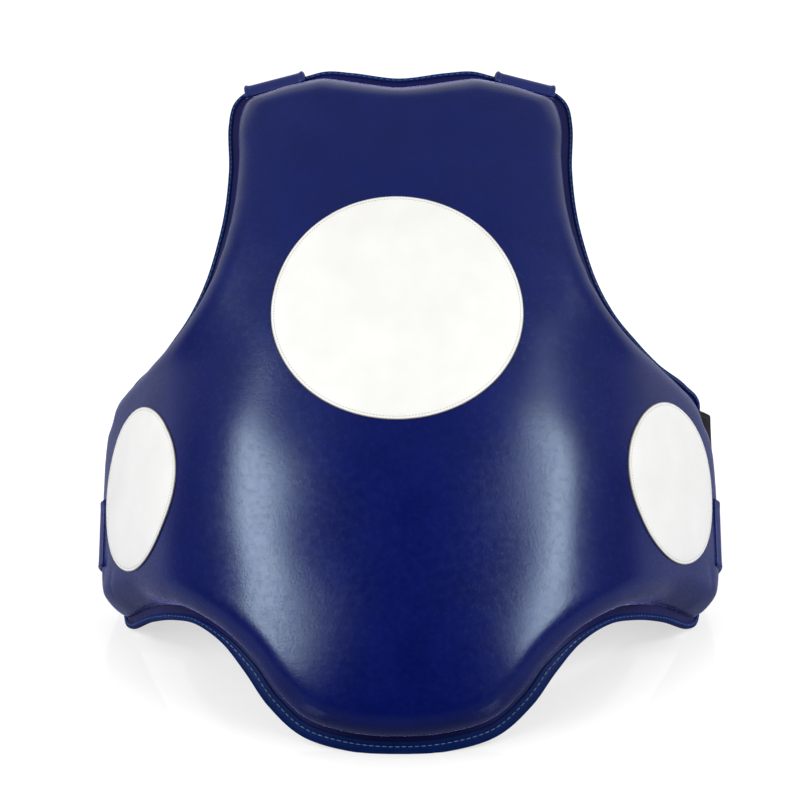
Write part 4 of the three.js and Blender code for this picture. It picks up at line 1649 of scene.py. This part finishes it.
@dataclass(frozen=True)
class Softbox:
    """A soft lamp that faces the part: bearings of its two ends, distance, width and power in watts."""

    name: str
    top: Bearing
    bottom: Bearing
    width: float
    power: float
    distance: float = 1.8
    mirrored: bool = True

    def build(self) -> None:
        """Hangs the lamp, which shows in glossy surfaces only where it is mirrored."""
        top = self.top.at(self.distance)
        bottom = self.bottom.at(self.distance)
        middle = (top + bottom) / 2
        upward = (top - bottom).normalized()
        back = (middle - middle.dot(upward) * upward).normalized()
        lamp = bpy.data.lights.new(self.name, "AREA")
        lamp.shape = "RECTANGLE"
        lamp.size = self.width
        lamp.size_y = (top - bottom).length
        lamp.energy = self.power
        holder = bpy.data.objects.new(self.name, lamp)
        holder.location = middle
        holder.visible_glossy = self.mirrored
        holder.rotation_euler = Matrix((upward.cross(back), upward, back)).transposed().to_euler()
        bpy.context.scene.collection.objects.link(holder)


@dataclass
class Studio:
    """Floor, lamps, surroundings and camera."""

    elevation_deg: float = 25.0
    distance: float = 1.8
    focal_pixels: float = 2250.0
    frame_pixels: float = 800.0
    contact_pixel: tuple[float, float] = (399.0, 752.0)
    contact: tuple[float, float, float] = (-0.01115, -0.2018, 0.0)
    floor_half: float = 60.0
    floor_cloud: float = 0.4
    floor_roughness: float = 0.08
    floor_specular: float = 0.3
    floor_grey: Colour = (0.42, 0.42, 0.42, 1.0)
    floor_pale: Colour = (0.44, 0.44, 0.44, 1.0)
    front_bounce: Colour = (0.14, 0.15, 0.23, 1.0)
    side_bounce: Colour = (0.34, 0.36, 0.48, 1.0)
    bounce_reach: Span = (0.12, 0.34)
    floor_reach: Span = (0.22, 0.46)
    floor_glow: Span = (0.52, 0.72)
    room_rise: Span = (0.25, 0.85)
    room_light: Span = (0.10, 0.46)
    dark_rim: Span = (0.55, 0.93)
    backdrop: float = 0.6
    backdrop_rim: Span = (0.1, 0.5)

    def build(self) -> None:
        """Sets up the studio."""
        self._floor()
        self._surroundings()
        self._camera()
        for box in (
            Softbox("left_box", Bearing(-66, 47), Bearing(-32, 24), 0.34, 20.0),
            Softbox("right_box", Bearing(66, 48), Bearing(38, 20), 0.34, 19.5),
            Softbox("left_fill", Bearing(-95, 40), Bearing(-95, 4), 1.4, 9.0, mirrored=False),
            Softbox("right_fill", Bearing(95, 40), Bearing(95, 4), 1.4, 9.0, mirrored=False),
        ):
            box.build()
        scene = bpy.context.scene
        scene.view_settings.view_transform = "Standard"
        scene.view_settings.look = "None"

    def _floor(self) -> None:
        """Lays the pale floor, which mirrors faintly and throws back less light in front than beside; to the
        camera alone it glows, a painted light that is weaker near the part and so paints a shade round it.
        """
        graph = Graph("pale_floor")
        where = graph.coordinates()
        cloudy = graph.noise(where, self.floor_cloud, 2.0)
        seen = graph.add("ShaderNodeLightPath").outputs["Is Camera Ray"]
        grey = graph.mixed(graph.spread(cloudy, 0.0, 1.0), self.floor_grey, self.floor_pale)
        # Painted light: camera rays see the floor glow, weaker near the part, which paints a shade round it
        away = graph.add("ShaderNodeVectorMath", {0: where}, operation="LENGTH").outputs["Value"]
        glow = graph.ramp(away, self.floor_reach, self.floor_glow)
        parts = graph.add("ShaderNodeSeparateXYZ", {"Vector": where})
        aside = graph.math("ABSOLUTE", parts.outputs["X"])
        beside = graph.ramp(aside, self.bounce_reach, (0.0, 1.0))
        bounce = graph.mixed(beside, self.front_bounce, self.side_bounce)
        graph.fill(graph.shader, {
            "Base Color": graph.mixed(seen, bounce, grey),
            "Roughness": self.floor_roughness,
            "Specular IOR Level": self.floor_specular,
            "Emission Color": (1.0, 1.0, 1.0, 1.0),
            "Emission Strength": graph.math("MULTIPLY", seen, glow),
        })
        half = self.floor_half / MILLIMETRE
        corners = np.array([(-half, -half, 0.0), (half, -half, 0.0), (half, half, 0.0), (-half, half, 0.0)])
        Shape(corners, [(0, 1, 2, 3)]).piece("floor", graph.material)

    def _surroundings(self) -> None:
        """Room that is bright overhead and behind, dim at the sides and dark round the camera."""
        world = bpy.data.worlds.new("studio")
        world.use_nodes = True
        bpy.context.scene.world = world
        nodes = Nodes(world.node_tree)
        where = nodes.add("ShaderNodeTexCoord").outputs["Generated"]
        camera = Bearing(0.0, self.elevation_deg).at(1.0)
        overhead = self._faced(nodes, where, Vector((0.0, 0.0, 1.0)), self.room_rise, self.room_light)
        away = self._faced(nodes, where, camera, self.dark_rim, (1.0, 0.0))
        behind = self._faced(nodes, where, Vector((0.0, 1.0, 0.0)), self.backdrop_rim, (0.0, self.backdrop))
        strength = nodes.math("MULTIPLY_ADD", overhead, away, behind)
        nodes.fill(nodes.tree.nodes["Background"], {"Color": (1.0, 1.0, 1.0, 1.0), "Strength": strength})

    @staticmethod
    def _faced(nodes: Nodes, where: Socket, way: Vector, rim: Span, strength: Span) -> Socket:
        """Smooth change of strength with how far a direction points one way, from -1 to 1."""
        share = nodes.add("ShaderNodeVectorMath", {0: where, 1: way}, operation="DOT_PRODUCT")
        return nodes.ramp(share.outputs["Value"], rim, strength, interpolation_type="SMOOTHSTEP")

    def _camera(self) -> None:
        """Places the camera so that the hem's contact with the floor falls on its pixel."""
        elevation = math.radians(self.elevation_deg)
        forward = Vector((0.0, math.cos(elevation), -math.sin(elevation)))
        right = Vector((1.0, 0.0, 0.0))
        up = right.cross(forward)
        half = self.frame_pixels / 2
        aside = (self.contact_pixel[0] - half) / self.focal_pixels
        below = (self.contact_pixel[1] - half) / self.focal_pixels
        lens = bpy.data.cameras.new("camera")
        lens.sensor_width = 36.0
        lens.lens = lens.sensor_width * self.focal_pixels / self.frame_pixels
        camera = bpy.data.objects.new("camera", lens)
        camera.location = Vector(self.contact) - self.distance * (forward + aside * right - below * up)
        camera.rotation_euler = forward.to_track_quat("-Z", "Y").to_euler()
        bpy.context.scene.collection.objects.link(camera)
        bpy.context.scene.camera = camera


def surface_of(piece: Piece) -> BVHTree:
    """The piece's faces, to lay others on."""
    points = [vertex.co for vertex in piece.data.vertices]
    return BVHTree.FromPolygons(points, [tuple(face.vertices) for face in piece.data.polygons])


def main() -> None:
    """Builds the pieces in order and notes the sizes."""
    logging.basicConfig(level=logging.INFO)
    Studio().build()
    finishes = Finishes.built()
    sewing = StitchTree()
    panel = Panel()
    edge = Edge(panel)
    grid = PadGrid(edge)
    pad = BodyPad(panel, edge, grid)
    creases = (
        Crease((-318.0, 150.0), (-300.0, 190.0), 0.9, 3.0),
        Crease((-296.0, 146.0), (-284.0, 172.0), 0.7, 2.6),
        Crease((306.0, 150.0), (296.0, 180.0), 0.6, 3.0),
    )
    surface = surface_of(pad.build(finishes.pad, creases))
    BackingPanel(panel, edge, grid).build(finishes.flange, finishes.lining)
    binding = Binding(edge)
    binding.build(finishes.tape)
    binding_stitch = Stitch(5.2, 4.2, 0.8, 0.6)
    lobe = binding.seams(-Corner.HEM_JOIN, Corner.HEM_JOIN)
    rest = binding.seams(Corner.HEM_JOIN, edge.rows - Corner.HEM_JOIN)
    dressed(sewing.piece("lobe_stitches", lobe, binding_stitch, finishes.blue_thread), "binding")
    dressed(sewing.piece("binding_stitches", rest, binding_stitch, finishes.teal_thread), "binding")
    discs = (
        Disc("chest_disc", -2.0, 357.6, 97.0, tall=1.015),
        Disc("side_disc_left", -236.5, 229.0, 65.5, tall=1.06),
        Disc("side_disc_right", 238.5, 234.0, 66.5, tall=1.03),
    )
    for disc in discs:
        disc.build(panel, surface, finishes.white)
    disc_seams = [disc.seam(panel, surface) for disc in discs]
    disc_stitch = Stitch(2.6, 2.0, 0.65, 0.4)
    dressed(sewing.piece("disc_stitches", disc_seams, disc_stitch, finishes.disc_thread), "patch_leather")
    Harness(panel, edge, pad).build(finishes, sewing)


if __name__ == "__main__":
    main()
